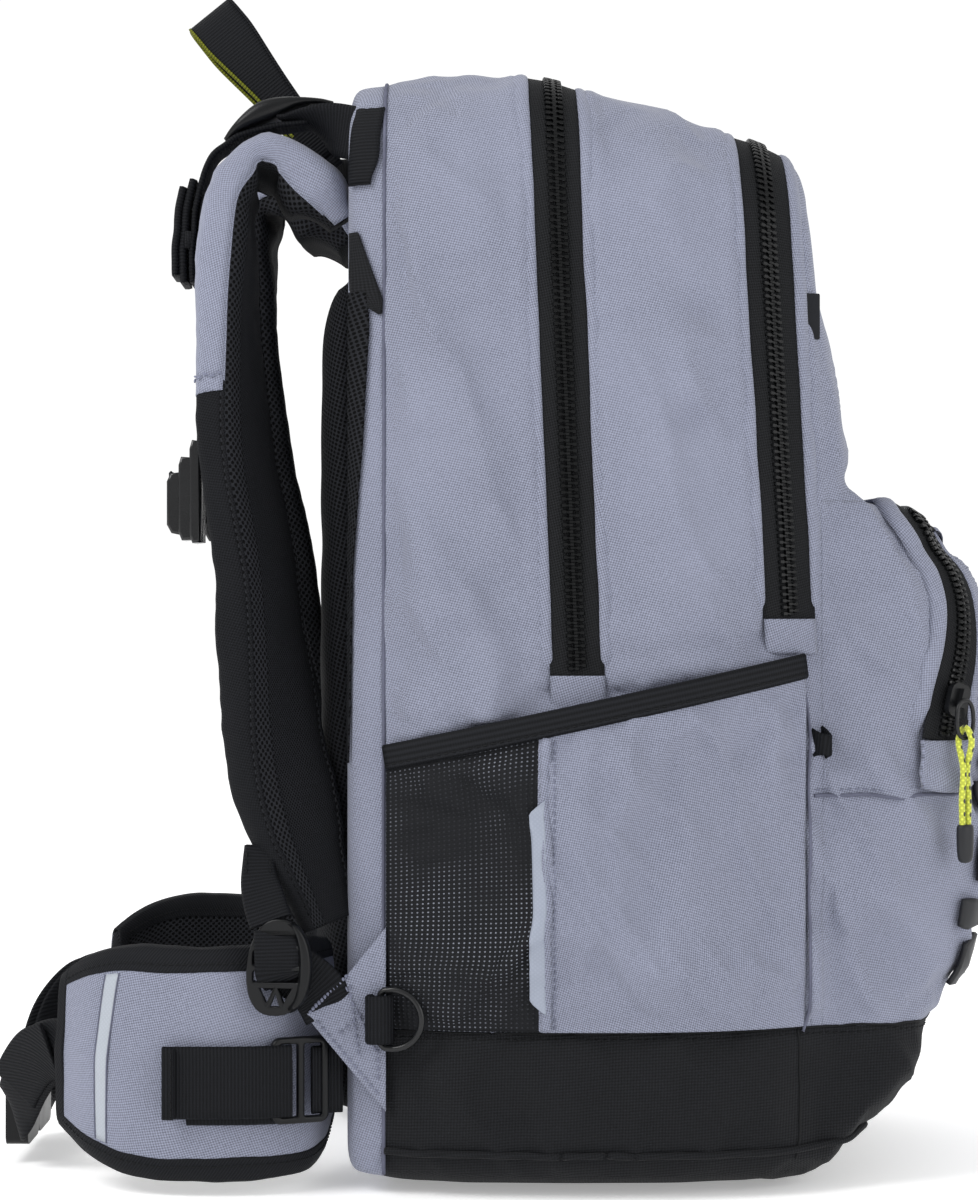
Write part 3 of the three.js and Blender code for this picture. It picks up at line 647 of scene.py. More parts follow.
def both(obj, material, body="bag", node=None, slot=None):
    """Finishes a left-hand piece and its mirrored right-hand one. `{}` in the body's name
    stands for the side."""
    right = mirror_copy(obj, f"{obj.name}_right")
    obj.name = f"{obj.name}_left"
    for side, piece in (("left", obj), ("right", right)):
        rides = body.format(side) if isinstance(body, str) else body
        finish(piece, material, rides, [f"{node}_{side}"] if node else (), slot)
    return obj, right


def sew(name, rows, thread, body="bag", length=0.0026, gap=0.0012, radius=0.00032, slot=None,
        ending=both):
    """Stitches along rows, each a (points, outward directions) pair."""
    places, frames = [], []
    for points, out in rows:
        lengths = arc_lengths(points)
        at = np.arange(0.0015, lengths[-1] - 0.00075, length + gap)
        place = read_at(at, lengths, points)
        along = unit(read_at(at + 0.0005, lengths, points) - place)
        side = unit(np.cross(along, unit(read_at(at, lengths, out))))
        places.append(place)
        frames.append(columns(side, along, unit(np.cross(side, along))))
    piece = many(name, capsule(length, radius), np.vstack(places), np.vstack(frames))
    ending(piece, thread, body, slot=slot)


def outwards(count):
    return np.tile(-X, (count, 1))


# ------------------------------------------------------------------ cloth
def relax(obj, pinned, pressure, extra, cap, frames=20):
    """Blender's cloth swells the closed or pinned skin. `extra` is the share by which
    the cloth is larger than its form, `cap` the furthest a point may move."""
    rest = coords(obj)
    group = obj.vertex_groups.new(name="seams")
    group.add([int(i) for i in np.nonzero(pinned)[0]], 1.0, "REPLACE")
    cloth = obj.modifiers.new("cloth", "CLOTH")
    values = {"vertex_group_mass": "seams", "quality": 4, "mass": 0.2, "tension_stiffness": 12,
              "compression_stiffness": 12, "shear_stiffness": 4, "bending_stiffness": 0.4,
              "use_pressure": True, "uniform_pressure_force": pressure, "shrink_min": -extra}
    for key, value in values.items():
        setattr(cloth.settings, key, value)
    cloth.settings.effector_weights.gravity = 0.0
    cloth.collision_settings.use_collision = False
    cloth.collision_settings.use_self_collision = False
    cloth.point_cache.frame_start = 1
    cloth.point_cache.frame_end = frames
    for step in range(1, frames + 1):
        scene.frame_set(step)
    mesh = evaluated_mesh(obj)
    moved = read(mesh.vertices, "co") - rest
    bpy.data.meshes.remove(mesh)
    obj.modifiers.clear()
    obj.vertex_groups.clear()
    length = np.linalg.norm(moved, axis=1, keepdims=True)
    set_coords(obj, rest + moved * np.minimum(1.0, cap / np.maximum(length, 1e-9)))
    scene.frame_set(1)


def smooth(obj, rounds, factor):
    """Moves each point towards its neighbours' middle."""
    a, b = read(obj.data.edges, "vertices", 2, int).T
    co = coords(obj)
    count = np.bincount(np.concatenate([a, b]), minlength=len(co))[:, None]
    for _ in range(rounds):
        total = np.zeros_like(co)
        np.add.at(total, a, co[b])
        np.add.at(total, b, co[a])
        co += factor * (total / np.maximum(count, 1) - co)
    set_coords(obj, co)


def box_uvs(obj):
    """The weave's own coordinates, taken from the side that each face looks to."""
    mesh = obj.data
    layer = mesh.uv_layers.get("weave") or mesh.uv_layers.new(name="weave")
    place = coords(obj)[read(mesh.loops, "vertex_index", 1, int)[:, 0]]
    facing = np.repeat(np.abs(read(mesh.polygons, "normal")).argmax(axis=1),
                       read(mesh.polygons, "loop_total", 1, int)[:, 0])
    u = np.where(facing == 0, place[:, 1], place[:, 0])
    v = np.where(facing == 2, place[:, 1], place[:, 2])
    layer.data.foreach_set("uv", columns(u, v).astype(np.float32).ravel())
    return obj


# ------------------------------------------------------------------ the bag's skin
def joined_form(nodes):
    """The union of some CAD solids as one even skin."""
    verts, faces = [], []
    for node in nodes:
        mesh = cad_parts[node].data
        faces += [tuple(len(verts) + i for i in p.vertices) for p in mesh.polygons]
        verts += [tuple(v.co) for v in mesh.vertices]
    obj = new_object("form", verts, faces)
    remesh = obj.modifiers.new("remesh", "REMESH")
    remesh.mode = "VOXEL"
    remesh.voxel_size = VOXEL
    return apply_modifiers(obj)


def pocket_zip_path():
    """The pocket zip's middle line, from left to right, and its outward directions."""
    rise = ((0.205, 28), (0.225, 32), (0.247, 40), (0.268, 46), (0.284, 52), (0.296, 58))
    points = [pocket_corner(z, turn, 0.002) for z, turn in rise]
    out = [unit(pocket_corner(z, turn, 0.003) - p + (0, 0, 0.0005 if z > 0.28 else 0))
           for (z, turn), p in zip(rise, points)]
    points = np.array([*points, (-0.084, -0.168, 0.3085), (-0.060, -0.166, 0.313)])
    out = np.array([*out, unit([-0.35, -0.55, 0.75]), unit([0, -0.5, 0.86])])
    points, out = [np.vstack([v, v[::-1] * [-1, 1, 1]]) for v in (points, out)]
    lengths = arc_lengths(points)
    path = smooth_path(points, 260)
    at = arc_lengths(path)
    at *= lengths[-1] / at[-1]
    return path, unit(read_at(at, lengths, out))


def nearest_on(path, points, step):
    """Distance from each point to a path's points."""
    return np.min([np.linalg.norm(points - place, axis=1) for place in path[::step]], axis=0)


def near(value, middle, reach):
    return np.abs(value - middle) < reach


def under_side_pocket(x, y, z, below=0.0, past=0.0):
    return ((np.abs(x) > 0.1) & (z > BASE_TOP) & (z < hem_line(y) - below)
            & (y > POCKET_FRONT - past))


def bag_skin():
    """The bag's whole skin, swelled between the seams that hold it."""
    skin = joined_form(("main_compartment", "second_compartment", "front_panel",
                        "front_pocket", "base_panel", "back_panel"))
    smooth(skin, 2, 0.4)
    co = coords(skin)
    x, y, z = co.T
    seams = [near(y, main_zip_plane(z), 0.0128) & (z > MAIN_ZIP_END - 0.01),
             near(y, second_zip_plane(z), 0.0128) & (z > SECOND_ZIP_END - 0.01),
             near(y, FRONT_FACE, 0.005) & (np.abs(x) > 0.1) & (z < 0.30),
             near(z, POCKET_TOP, 0.006) & (y > -0.145) & (y < -0.115),
             near(z, CROSS_SEAM, 0.004) & (y < -0.13),
             near(z, BASE_TOP, 0.0035),
             near(z, BASE_PIPING, 0.004),
             nearest_on(pocket_zip_path()[0], co, 3) < 0.0135,
             y > BACK_SEAM - 0.005,
             (z < 0.012) & (y > -0.09)]
    on_front = smoothstep(-y, 0.108, 0.122) * smoothstep(z, 0.3, 0.33)
    held = under_side_pocket(x, y, z, 0.008, 0.002)
    cap = np.where(held, 0.0006, 0.0062) * (1 - 0.75 * on_front)
    cap *= 1 - 0.6 * smoothstep(z, 0.45, 0.495)
    relax(skin, np.any(seams, axis=0), 3.2, 0.045, cap[:, None])
    co = coords(skin)
    _, y, z = co.T
    past_zip = np.maximum(0.0, second_zip_plane(z) - TAPE_HALF - 0.002 - y)
    y += 0.5 * past_zip * smoothstep(z, 0.36, 0.46)
    y += 0.015 * smoothstep(0.06 - z, 0.0, 0.05) * smoothstep(-y, 0.1, 0.165)
    set_coords(skin, co)
    smooth(skin, 1, 0.35)
    return subdivide(skin)


def beside(distance):
    """1 in the cloth just past a zip's tape, falling to 0 on the tape and further away."""
    return hump(np.abs(distance), TAPE_HALF + 0.0055, 0.0042)


def crease(skin):
    """Soft folds that the load and the seams pull into the cloth."""
    co = coords(skin)
    x, y, z = co.T
    slant = columns(x * 0.5, 0.81 * y - 0.58 * z, 0.26 * (0.58 * y + 0.81 * z))
    folds = (0.0014 * ripple(co * [1, 1, 0.6], 1, 22) + 0.0010 * ripple(slant, 5, 85)
             + 0.0070 * (1 - np.abs(ripple(slant, 2, 36))) ** 4)
    from_pocket_zip = nearest_on(pocket_zip_path()[0], co, 6)
    free = smoothstep(BACK_SEAM - y, 0.001, 0.02) * smoothstep(z, 0.0, 0.02)
    free *= smoothstep(np.abs(z - BASE_TOP), 0.0, 0.012) * np.where(z < BASE_TOP, 0.4, 1.0)
    free *= 1 - 0.6 * smoothstep(z, 0.45, 0.49)
    free *= smoothstep(from_pocket_zip, 0.012, 0.03)
    lip = 0.6 * beside(from_pocket_zip)
    for plane, end in ((main_zip_plane, MAIN_ZIP_END), (second_zip_plane, SECOND_ZIP_END)):
        away = y - plane(z)
        free *= np.where(z < end - 0.02, 1.0, smoothstep(np.abs(away), 0.016, 0.045))
        lip = np.maximum(lip, beside(away) * (z > end - 0.004))
    free[under_side_pocket(x, y, z)] = 0.0
    rise = folds * free + 0.0019 * lip
    set_coords(skin, co + read(skin.data.vertices, "normal") * rise[:, None])
    return skin


def lay_loops(skin):
    """Lays an edge loop on each plane where the skin is to be cut."""
    bm = bmesh.new()
    bm.from_mesh(skin.data)
    for place, normal in (((0, 0, BASE_TOP), (0, 0, 1)), ((0, BACK_SEAM, 0), (0, 1, 0)),
                          ((0, main_zip_plane(0.3), 0.3), (0, 1, -0.04)),
                          ((0, second_zip_plane(0.3), 0.3), (0, 1, -0.055)),
                          ((0, POCKET_SIDE, 0), (0, 1, 0)), ((0, 0, POCKET_CUT), (0, 0, 1))):
        bmesh.ops.bisect_plane(bm, geom=bm.verts[:] + bm.edges[:] + bm.faces[:],
                               plane_co=Vector(place), plane_no=Vector(normal), dist=1e-6)
    bm.to_mesh(skin.data)
    bm.free()
    skin.data.update()


def cut_panels(skin):
    """Cuts the skin into the bag's panels."""
    co = coords(skin)
    _, y, z = read(skin.data.polygons, "center").T
    polygons = [tuple(p.vertices) for p in skin.data.polygons]
    left = np.ones(len(z), bool)
    for name, node, inside in (
            ("back_shell", "back_panel", y > BACK_SEAM),
            ("base_shell", "base_panel", z < BASE_TOP),
            ("main_shell", "main_compartment", y > main_zip_plane(z)),
            ("second_shell", "second_compartment", y > second_zip_plane(z)),
            ("pocket_shell", "front_pocket", (z < POCKET_CUT) & (y < POCKET_SIDE)),
            ("front_shell", "front_panel", left)):
        chosen = np.nonzero(left & inside)[0]
        left[chosen] = False
        used = sorted({v for i in chosen for v in polygons[i]})
        index = {v: k for k, v in enumerate(used)}
        faces = [[index[v] for v in polygons[i]] for i in chosen]
        shell = box_uvs(backed(new_object(name, co[used], faces)))
        finish(shell, black_cloth if node == "base_panel" else grey_cloth, replaces=[node])
    bpy.data.objects.remove(skin)


skin = crease(bag_skin())
lay_loops(skin)
bag_surface = BVHTree.FromPolygons([Vector(c) for c in coords(skin)],
                                   [tuple(p.vertices) for p in skin.data.polygons])
cut_panels(skin)


def on_bag(point, lift=0.0):
    """The nearest point on the bag's skin and the direction out of it."""
    place, normal, _, _ = bag_surface.find_nearest(Vector(point))
    normal = np.array(normal)
    if normal @ (np.asarray(point) - BAG_MIDDLE) < 0:
        normal = -normal
    return np.array(place) + normal * lift, normal


def laid_on_bag(points, lift):
    placed = [on_bag(p, lift) for p in points]
    return np.array([p for p, _ in placed]), np.array([n for _, n in placed])


def seam_path(points, lift, rounds=12):
    """A seam's path on the bag, evened out so that it doesn't follow the skin's facets."""
    path, out = laid_on_bag(points, lift)
    for _ in range(rounds):
        path[1:-1] = 0.25 * path[:-2] + 0.5 * path[1:-1] + 0.25 * path[2:]
    return path, out


def bag_patch(name, heights, edges, backs, out, lift, thickness):
    """Cloth on the left side of the bag, from y = back to y = edge at each height."""
    rows = [[on_bag((-half_width(y, z) - out, y, z), lift)[0]
             for y in np.linspace(back, edge, 8)]
            for z, edge, back in np.broadcast(heights, edges, backs)]
    return patch(name, rows, thickness)


# ------------------------------------------------------------------ zips
def chain(name, path, side, out):
    """Both rows of moulded teeth along a zip's middle."""
    lengths = arc_lengths(path)
    for row, start, turn in (("near", 0.0, 1), ("far", TOOTH_PITCH / 2, -1)):
        at = np.arange(start + 0.004, lengths[-1] - 0.003, TOOTH_PITCH)
        across, normal = [unit(read_at(at, lengths, v)) for v in (side, out)]
        ahead = unit(np.cross(normal, across))
        piece = many(f"{name}_teeth_{row}", tooth(), read_at(at, lengths, path),
                     columns(across * turn, ahead * turn, normal))
        piece.data.polygons.foreach_set("use_smooth", [False] * len(piece.data.polygons))
        finish(piece, teeth_plastic, replaces=[name] if turn == 1 else ())


# A turned edge of cloth beside a zip: (away from the zip, out).
FOLD = mm([(-1.2, -1.0), (-2.0, 0.2), (-1.7, 1.2), (-0.6, 1.8), (1.0, 1.9), (2.8, 1.3),
           (5.0, -0.2), (8.0, -3.6), (3.0, -3.4)])


def zip_folds(name, edges):
    """The turned cloth edges that lie over a zip's tape."""
    pieces = []
    for k, (path, away, out) in enumerate(edges):
        path = path + away * (0.0006 * ripple(path, 11 + k, 40))[:, None]
        at = arc_lengths(path)
        from_end = np.minimum(at, at[-1] - at)
        path = path - out * (0.0045 * (1 - smoothstep(from_end, 0.0, 0.016)))[:, None]
        rows = path[:, None] + away[:, None] * FOLD[:, :1] + out[:, None] * FOLD[:, 1:]
        if (np.cross(tangents(path), away) * out).sum() < 0:
            rows = rows[:, ::-1]
        pieces.append(grid(f"{name}_{k}", rows, closed=True, caps=True))
    finish(join(name, pieces), grey_cloth)


def bag_zip(name, plane, end, tab):
    """A zip that runs up one side, over the top and down the other, and the stitched
    patches of shell cloth that cover its lower ends."""
    def line(lift, shift=0.0, below=0.0):
        return bag_outline(plane, end - below, lift, shift, 420)

    lifts = 0.0011 + 0.0003 * np.cos(np.linspace(-math.pi, math.pi, 9))
    lines = [line(lift, shift) for shift, lift in zip(ACROSS_TAPE[::-1], lifts)]
    middle = line(0.0016)
    side = unit(lines[-1] - lines[0])
    out = unit(np.cross(side, tangents(middle)))
    if (out * (middle - BAG_MIDDLE)).sum() < 0:
        out = -out
    tape = patch(f"{name}_tape", np.stack(lines, axis=1), 0.0008)
    finish(tape, zip_tape, replaces=[name])
    chain(name, middle, side, out)
    zip_folds(f"{name}_folds", [(line(0.001, sign * FOLD_EDGE, 0.004), -side * sign, out)
                                for sign in (1, -1)])
    shifts = np.linspace(TAPE_HALF - 0.0002, -TAPE_HALF + 0.0002, 14)
    bulge = 0.0026 - 0.0012 * np.abs(shifts / TAPE_HALF) ** 4
    rows = [columns(-half_width(plane(z) + shifts, z) - bulge, plane(z) + shifts,
                    np.full(14, z)) for z in np.linspace(end + 0.0012, end - tab, 12)]
    stem = name.replace("_zip", "_end_tab")
    both(patch(stem, rows, 0.001), grey_cloth)
    sew(f"{stem}_stitches", [(rows[1] + [-0.0002, 0, -0.001], outwards(14))], grey_thread)


def pocket_zip():
    """The arched zip round the front of the pocket."""
    path, out = pocket_zip_path()
    t = tangents(path)
    side = unit(np.cross(out, t))
    out = unit(np.cross(t, side))
    lifts = 0.0006 + 0.0005 * np.cos(np.linspace(-1.3, 1.3, 9))
    lines = [path + side * across + out * lift for across, lift in zip(ACROSS_TAPE, lifts)]
    tape = patch("pocket_zip_tape", np.stack(lines, axis=1)[:, ::-1], 0.0008)
    finish(tape, zip_tape, replaces=["pocket_zip"])
    chain("pocket_zip", path + out * 0.0009, side, out)
    zip_folds("pocket_zip_folds", [(path + side * (sign * FOLD_EDGE) - out * 0.0006, side * sign,
                                    out) for sign in (1, -1)])


# ------------------------------------------------------------------ seams of the bag
def level_path(z, front, corner, count=260):
    """Right to left round the front at height z, to be laid on the bag."""
    inner = 0.069
    y = np.linspace(BACK_SEAM - 0.001, front, 90)
    side = columns(half_width(y, 0.0), y, np.full(90, z))
    angle = np.linspace(0, math.pi / 2, 30)[1:]
    radius = float(side[-1, 0]) - inner
    arc = columns(inner + radius * np.cos(angle), front - corner * np.sin(angle),
                  np.full(29, z))
    right = np.vstack([side, arc])
    return resample(np.vstack([right, (right * [-1, 1, 1])[::-1]]), count)


def bag_seams():
    """The base's piping and seams; painted shadow lines on the side seams and the back seam."""
    piping, _ = seam_path(level_path(BASE_PIPING, -0.098, 0.05), 0.0011)
    finish(tube("base_piping", piping, 0.0017, 8), black_cloth)
    top, _ = laid_on_bag(level_path(BASE_TOP, *BASE_ROUND), 0.0)
    finish(tube("base_seam", top, 0.0006), black_thread)
    below = level_path(BASE_TOP - 0.003, *BASE_ROUND)
    sew("base_stitches", [laid_on_bag(below, 0.0002)], black_thread, ending=finish)
    corner = [(-half_width(-0.106, 0), -0.106, z) for z in np.linspace(BASE_TOP, 0.012, 24)]
    both(tube("base_corner_seam", laid_on_bag(corner, 0.0001)[0], 0.0007), black_thread)
    # Painted shadow lines down the side seams: thin tubes in the darker seam_shadow grey.
    side = [(-0.125, POCKET_FRONT - 0.0012, z)
            for z in np.linspace(hem_line(POCKET_FRONT) - 0.004, BASE_TOP, 90)]
    both(tube("side_seam_shadow", seam_path(side, 0.0003)[0], 0.0008), seam_shadow)
    # A painted shadow line round the back seam: a thin tube in the darker seam_shadow grey.
    back = bag_outline(lambda z: BACK_SEAM + 0 * z, 0.006)
    finish(tube("back_seam_shadow", back + [0, -0.0003, 0], 0.0009, 8, across=Y), seam_shadow)


# ------------------------------------------------------------------ side pockets
def pocket_point(y, share):
    """A point of the left side pocket's cloth, `share` of the way up from its floor."""
    z = POCKET_FLOOR + (hem_line(y) - POCKET_FLOOR) * share
    depth = 0.003 + 0.009 * (1 - ((y + 0.0125) / 0.098) ** 2)
    full = 0.25 + 0.75 * smoothstep(z - BASE_TOP, 0.0, 0.03)
    return np.array([-half_width(y, 0.0) - depth * full - 0.0004, y, z])


def side_pockets():
    """Both halves of the side pockets' cloth, swelled and drawn in under the hem."""
    ys = np.linspace(BACK_SEAM - 0.0015, POCKET_FRONT, 84)
    at = int(np.argmin(np.abs(ys - SPLIT)))
    ys[at] = SPLIT
    shares = np.linspace(0, 1, 64)
    cloth = grid("side_cloth", [[pocket_point(y, s) for y in ys] for s in shares])
    share = np.repeat(shares, len(ys))
    y = np.tile(ys, len(shares))
    pinned = ((share < 0.03) | (share > 0.9) | (y > BACK_SEAM - 0.004)
              | (y < POCKET_FRONT + 0.004))
    relax(cloth, pinned, 1.6, 0.035, 0.0055)
    co = coords(cloth)
    drop = (1 - share) * 0.14
    pull = ripple(columns(y, drop * 0.18 + 0.35 * y, 0 * y), 3, 75)
    slant = ripple(columns(y + 0.8 * drop, 0.3 * (drop - y), 0 * y), 4, 48)
    under_hem = np.exp(-drop / 0.04) * smoothstep(drop, 0.012, 0.022)
    loose = smoothstep(share, 0.0, 0.2) * smoothstep(1 - share, 0.02, 0.15)
    loose *= smoothstep(y - POCKET_FRONT, 0, 0.02) * smoothstep(BACK_SEAM - y, 0, 0.02)
    ridge = (1 - np.abs(slant)) ** 3 - 0.4
    stiff = np.where(y > SPLIT + 0.001, 0.35, 1.0)
    co[:, 0] -= (0.0115 * pull * under_hem + 0.0052 * ridge * loose) * stiff
    bpy.data.objects.remove(cloth)
    rows = co.reshape(len(shares), len(ys), 3)
    both(patch("side_mesh", rows[:, :at + 2], 0.001), pocket_mesh, node="side_pocket_mesh")
    panel = subdivide(grid("side_panel", rows[:, at - 1:] - [0.0012, 0, 0]))
    both(backed(panel), grey_cloth, node="side_pocket_panel")
    return rows, ys, shares


def on_side_pocket(y, z, lift):
    """A point on the left side pocket's finished cloth."""
    rows, ys, shares = pocket_cloth
    share = (z - POCKET_FLOOR) / (hem_line(y) - POCKET_FLOOR)
    i = np.interp(share, shares, np.arange(len(shares)))
    j = np.interp(-y, -ys, np.arange(len(ys)))
    i0, j0 = int(min(i, len(shares) - 2)), int(min(j, len(ys) - 2))
    low, high = [(1 - j + j0) * row[j0] + (j - j0) * row[j0 + 1] for row in rows[i0:i0 + 2]]
    return (1 - i + i0) * low + (i - i0) * high - [lift, 0, 0]


def pocket_trim():
    """The elastic hems, and the fold and stitches where each panel meets its mesh."""
    middle = np.array([pocket_point(y, 1.0) + [-0.0019, 0, -HEM_HEIGHT / 2]
                       for y in np.linspace(BACK_SEAM - 0.001, POCKET_FRONT, 90)])
    middle[:, 0] -= 0.0006 * ripple(middle, 8, 40)
    both(strip("side_hem", middle, Z, HEM_HEIGHT, 0.0022, 10), elastic, node="side_pocket_hem")
    row = middle + [-0.0012, 0, -HEM_HEIGHT / 2 + 0.0026]
    sew("hem_stitches", [(row, outwards(90))], black_thread, slot="webbing")
    heights = np.linspace(BASE_TOP + 0.002, hem_line(SPLIT) - HEM_HEIGHT, 80)
    edge = [on_side_pocket(SPLIT + 0.0006, z, 0.0014) for z in heights]
    turned = mm([(1.6, 0.4), (0.8, 1.2), (-1, 1.2), (-3, 0.6), (-3, -0.8), (1, -0.8)])
    both(sweep("panel_fold", edge, Y, turned), grey_cloth)
    seam = [on_side_pocket(SPLIT - 0.0042, z, 0.0016) for z in heights]
    sew("panel_stitches", [(seam, outwards(80))], grey_thread)


def reflective_side_tab():
    """The reflective tab caught in the pocket's seam, with its corners cut off."""
    low, high, wide = 0.082, 0.181, 0.0072
    rows = []
    for z in np.linspace(low, high, 60):
        cut = clamp(min(z - low, high - z) / 0.006)
        curl = 0.0009 * (1 + ripple((0, z, 0), 9, 60))
        rows.append([on_side_pocket(SPLIT + 0.0002 + wide * cut * share, z,
                                    0.0020 + curl * share) for share in np.linspace(0, 1, 6)])
    both(patch("side_tab", rows, 0.0006), reflective_tab)


# ------------------------------------------------------------------ flat moulded plates
def plate(name, outlines, thickness, bevel, origin, u_axis, v_axis):
    """A flat moulding: the first outline less the holes in the others, as (u, v) points."""
    curve = bpy.data.curves.new(name, "CURVE")
    curve.dimensions = "2D"
    curve.fill_mode = "BOTH"
    curve.extrude = thickness / 2 - bevel
    curve.bevel_depth = bevel
    curve.bevel_resolution = 2
    curve.offset = -bevel
    for outline in outlines:
        spline = curve.splines.new("POLY")
        spline.points.add(len(outline) - 1)
        spline.use_cyclic_u = True
        for point, (u, v) in zip(spline.points, outline):
            point.co = (u, v, 0, 1)
    drawn = linked(name + "_drawn", curve)
    mesh = evaluated_mesh(drawn)
    mesh.name = name
    bpy.data.objects.remove(drawn)
    piece = linked(name, mesh)
    axes = np.array([u_axis, v_axis, np.cross(u_axis, v_axis)])
    set_coords(piece, np.asarray(origin) + coords(piece) @ axes)
    return piece


def rounded(half_u, half_v, radius, centre=(0.0, 0.0), steps=7):
    """A rectangle with round corners."""
    return [(centre[0] + su * (half_u - radius) + radius * math.cos(a),
             centre[1] + sv * (half_v - radius) + radius * math.sin(a))
            for su, sv, start in ((1, 1, 0), (-1, 1, 90), (-1, -1, 180), (1, -1, 270))
            for a in np.radians(np.linspace(start, start + 90, steps))]


# ------------------------------------------------------------------ padding
def pad_section(width, inner, outer, count=48, square=0.36):
    """A pad's section: flat faces, full edges. Share 0 is the middle of the outer face,
    0.25 the edge at +across, 0.5 the middle of the inner face."""
    angle = np.linspace(0, 2 * math.pi, 241)
    s, c = np.sin(angle), np.cos(angle)
    a = width / 2 * np.sign(s) * np.abs(s) ** square
    o = np.sign(c) * np.abs(c) ** 0.62 * np.where(c > 0, outer, inner)
    return resample(columns(a, o), count + 1)[:-1]


def out_of(rows):
    return unit(rows - rows.mean(axis=1, keepdims=True))


def faced_out(piece, rows):
    """Turns a cloth's faces outwards, away from the middle of its form."""
    face = piece.data.polygons[len(piece.data.polygons) // 2]
    centre = np.array(face.center)
    middles = rows.mean(axis=1)
    core = middles[np.linalg.norm(middles - centre, axis=1).argmin()]
    if np.array(face.normal) @ (centre - core) < 0:
        piece.data.flip_normals()
    return piece


def band(name, rows, first, last, lift, thickness, reach=slice(None), columns=26):
    """The cloth over part of a padded form, between two shares of its girth. Each share
    may change along the form."""
    count = rows.shape[1]
    first, last = [np.broadcast_to(v, len(rows)) for v in (first, last)]
    part = []
    for row, away, low, high in zip(*[v[reach] for v in (rows, out_of(rows), first, last)]):
        at = np.linspace(low, high, columns) * count % count
        whole = np.arange(count + 1)
        place, out = [read_at(at, whole, np.vstack([v, v[:1]])) for v in (row, away)]
        part.append(place + out * lift)
    return backed(faced_out(grid(name, part), rows), thickness)


def padded_pair(name, rows, inset, material, body, node):
    """The pads inside both copies of a form."""
    pad = grid(name, rows - out_of(rows) * inset, closed=True, caps=True)
    for piece in both(pad, material, body, node):
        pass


# ------------------------------------------------------------------ shoulder straps
def strap_rows(count=190):
    line = smooth_path(mm([
        (-62, 107.5, 455), (-64, 119, 472), (-66, 141, 483), (-70, 158, 469), (-75, 163, 443),
        (-84, 160, 391), (-92, 156, 343), (-99, 148, 296), (-104, 143, 248), (-108, 137, 202),
        (-111, 127, 165), (-114, 116, 135), (-115.5, 110.5, 121.5)]), count)
    t = np.linspace(0, 1, count)
    turn = np.radians(20) * smoothstep(t, 0.12, 0.6) + np.radians(32) * smoothstep(t, 0.6, 0.92)
    across = columns(-np.cos(turn), np.sin(turn), 0 * turn)
    start, end = smoothstep(t, 0, 0.05), smoothstep(t, 0.84, 1)
    width = 0.064 * (0.9 + 0.1 * start) * (1 - 0.16 * smoothstep(t, 0.6, 0.85)) * (1 - 0.42 * end)
    half = 0.021 * (0.6 + 0.4 * start) * (1 - 0.55 * end) / 2
    swell = 0.011 * hump(t, 0.055, 0.042) + 0.003 * hump(t, 0.24, 0.06)
    pinch = 0.0075 * hump(t, 0.135, 0.013)
    rows = sections_along(line, across, np.array([
        pad_section(*sizes) for sizes in zip(width, half + swell - pinch, half)]))
    wave = ripple(rows, 21, 38) * 0.0012 + ripple(rows * [1, 1, 2.4], 22, 60) * 0.0008
    bend = 0.0036 * hump(t, 0.14, 0.05)
    wave += bend[:, None] * ripple(rows * [0.3, 1, 1], 23, 120)
    return rows + out_of(rows) * wave[..., None]


def shoulder_straps():
    rows = strap_rows()
    count = rows.shape[1]
    cut = int(len(rows) * STRAP_COVER_END)
    rim = 0.285 + 0.05 * smoothstep(np.linspace(0, 1, len(rows)), 0.45, 0.8)
    padded_pair("strap_underside", rows, 0.0006, fine_mesh, "harness", "shoulder_strap")
    for name, low, high in (("strap_edge_near", rim - 0.008, rim + 0.078),
                            ("strap_edge_far", 0.66, 0.775)):
        both(band(name, rows, low, high, 0.0006, 0.0008, columns=12), coarse_mesh, "harness")
    both(band("strap_cover", rows, -0.235, rim, 0.0012, 0.0014, slice(cut + 2)), grey_cloth,
         "harness")
    both(band("strap_lower_cover", rows, -0.235, rim, 0.0006, 0.0014, slice(cut, None)),
         strap_cloth, "harness")
    across = np.arange(-12, 15) % count
    row = rows[cut - 2, across] + out_of(rows)[cut - 2, across] * 0.0019
    row[:, 2] += 0.0016 * (np.arange(27) % 2)
    sew("strap_zigzag", [(resample(row, 120), outwards(120))], grey_thread, "harness", 0.003,
        0.0008, 0.0005)
    path = np.array([read_at([rim[i] * count], np.arange(count), rows[i])[0]
                     for i in range(3, len(rows) - 3)])
    for name, part, cloth in (("strap_piping", path[:cut - 3], grey_cloth),
                              ("strap_piping_lower", path[cut - 3:], strap_cloth)):
        both(tube(name, part, 0.0011, across=Y), cloth, "harness")


def lower_strap_tab():
    """The webbing sewn under the strap's end."""
    path = smooth_path(mm([(-125.5, 143.0, 158), (-129.0, 143.4, 151), (-133.0, 142.6, 142),
                           (-137.2, 139.4, 131), (-139.4, 137.0, 124.5)]), 60)
    widths = 0.0145 + 0.0055 * smoothstep(np.linspace(0, 1, 60), 0.1, 0.8)
    both(sweep("strap_tab", path, (0.1, 1, 0.2), flat_sections(widths, 0.0026)), webbing,
         "harness")
    rows = [(path[4:24] + [-0.0019, side * 0.0055, 0], outwards(20)) for side in (1, -1)]
    sew("strap_tab_stitches", rows, black_thread, "harness", slot="webbing")


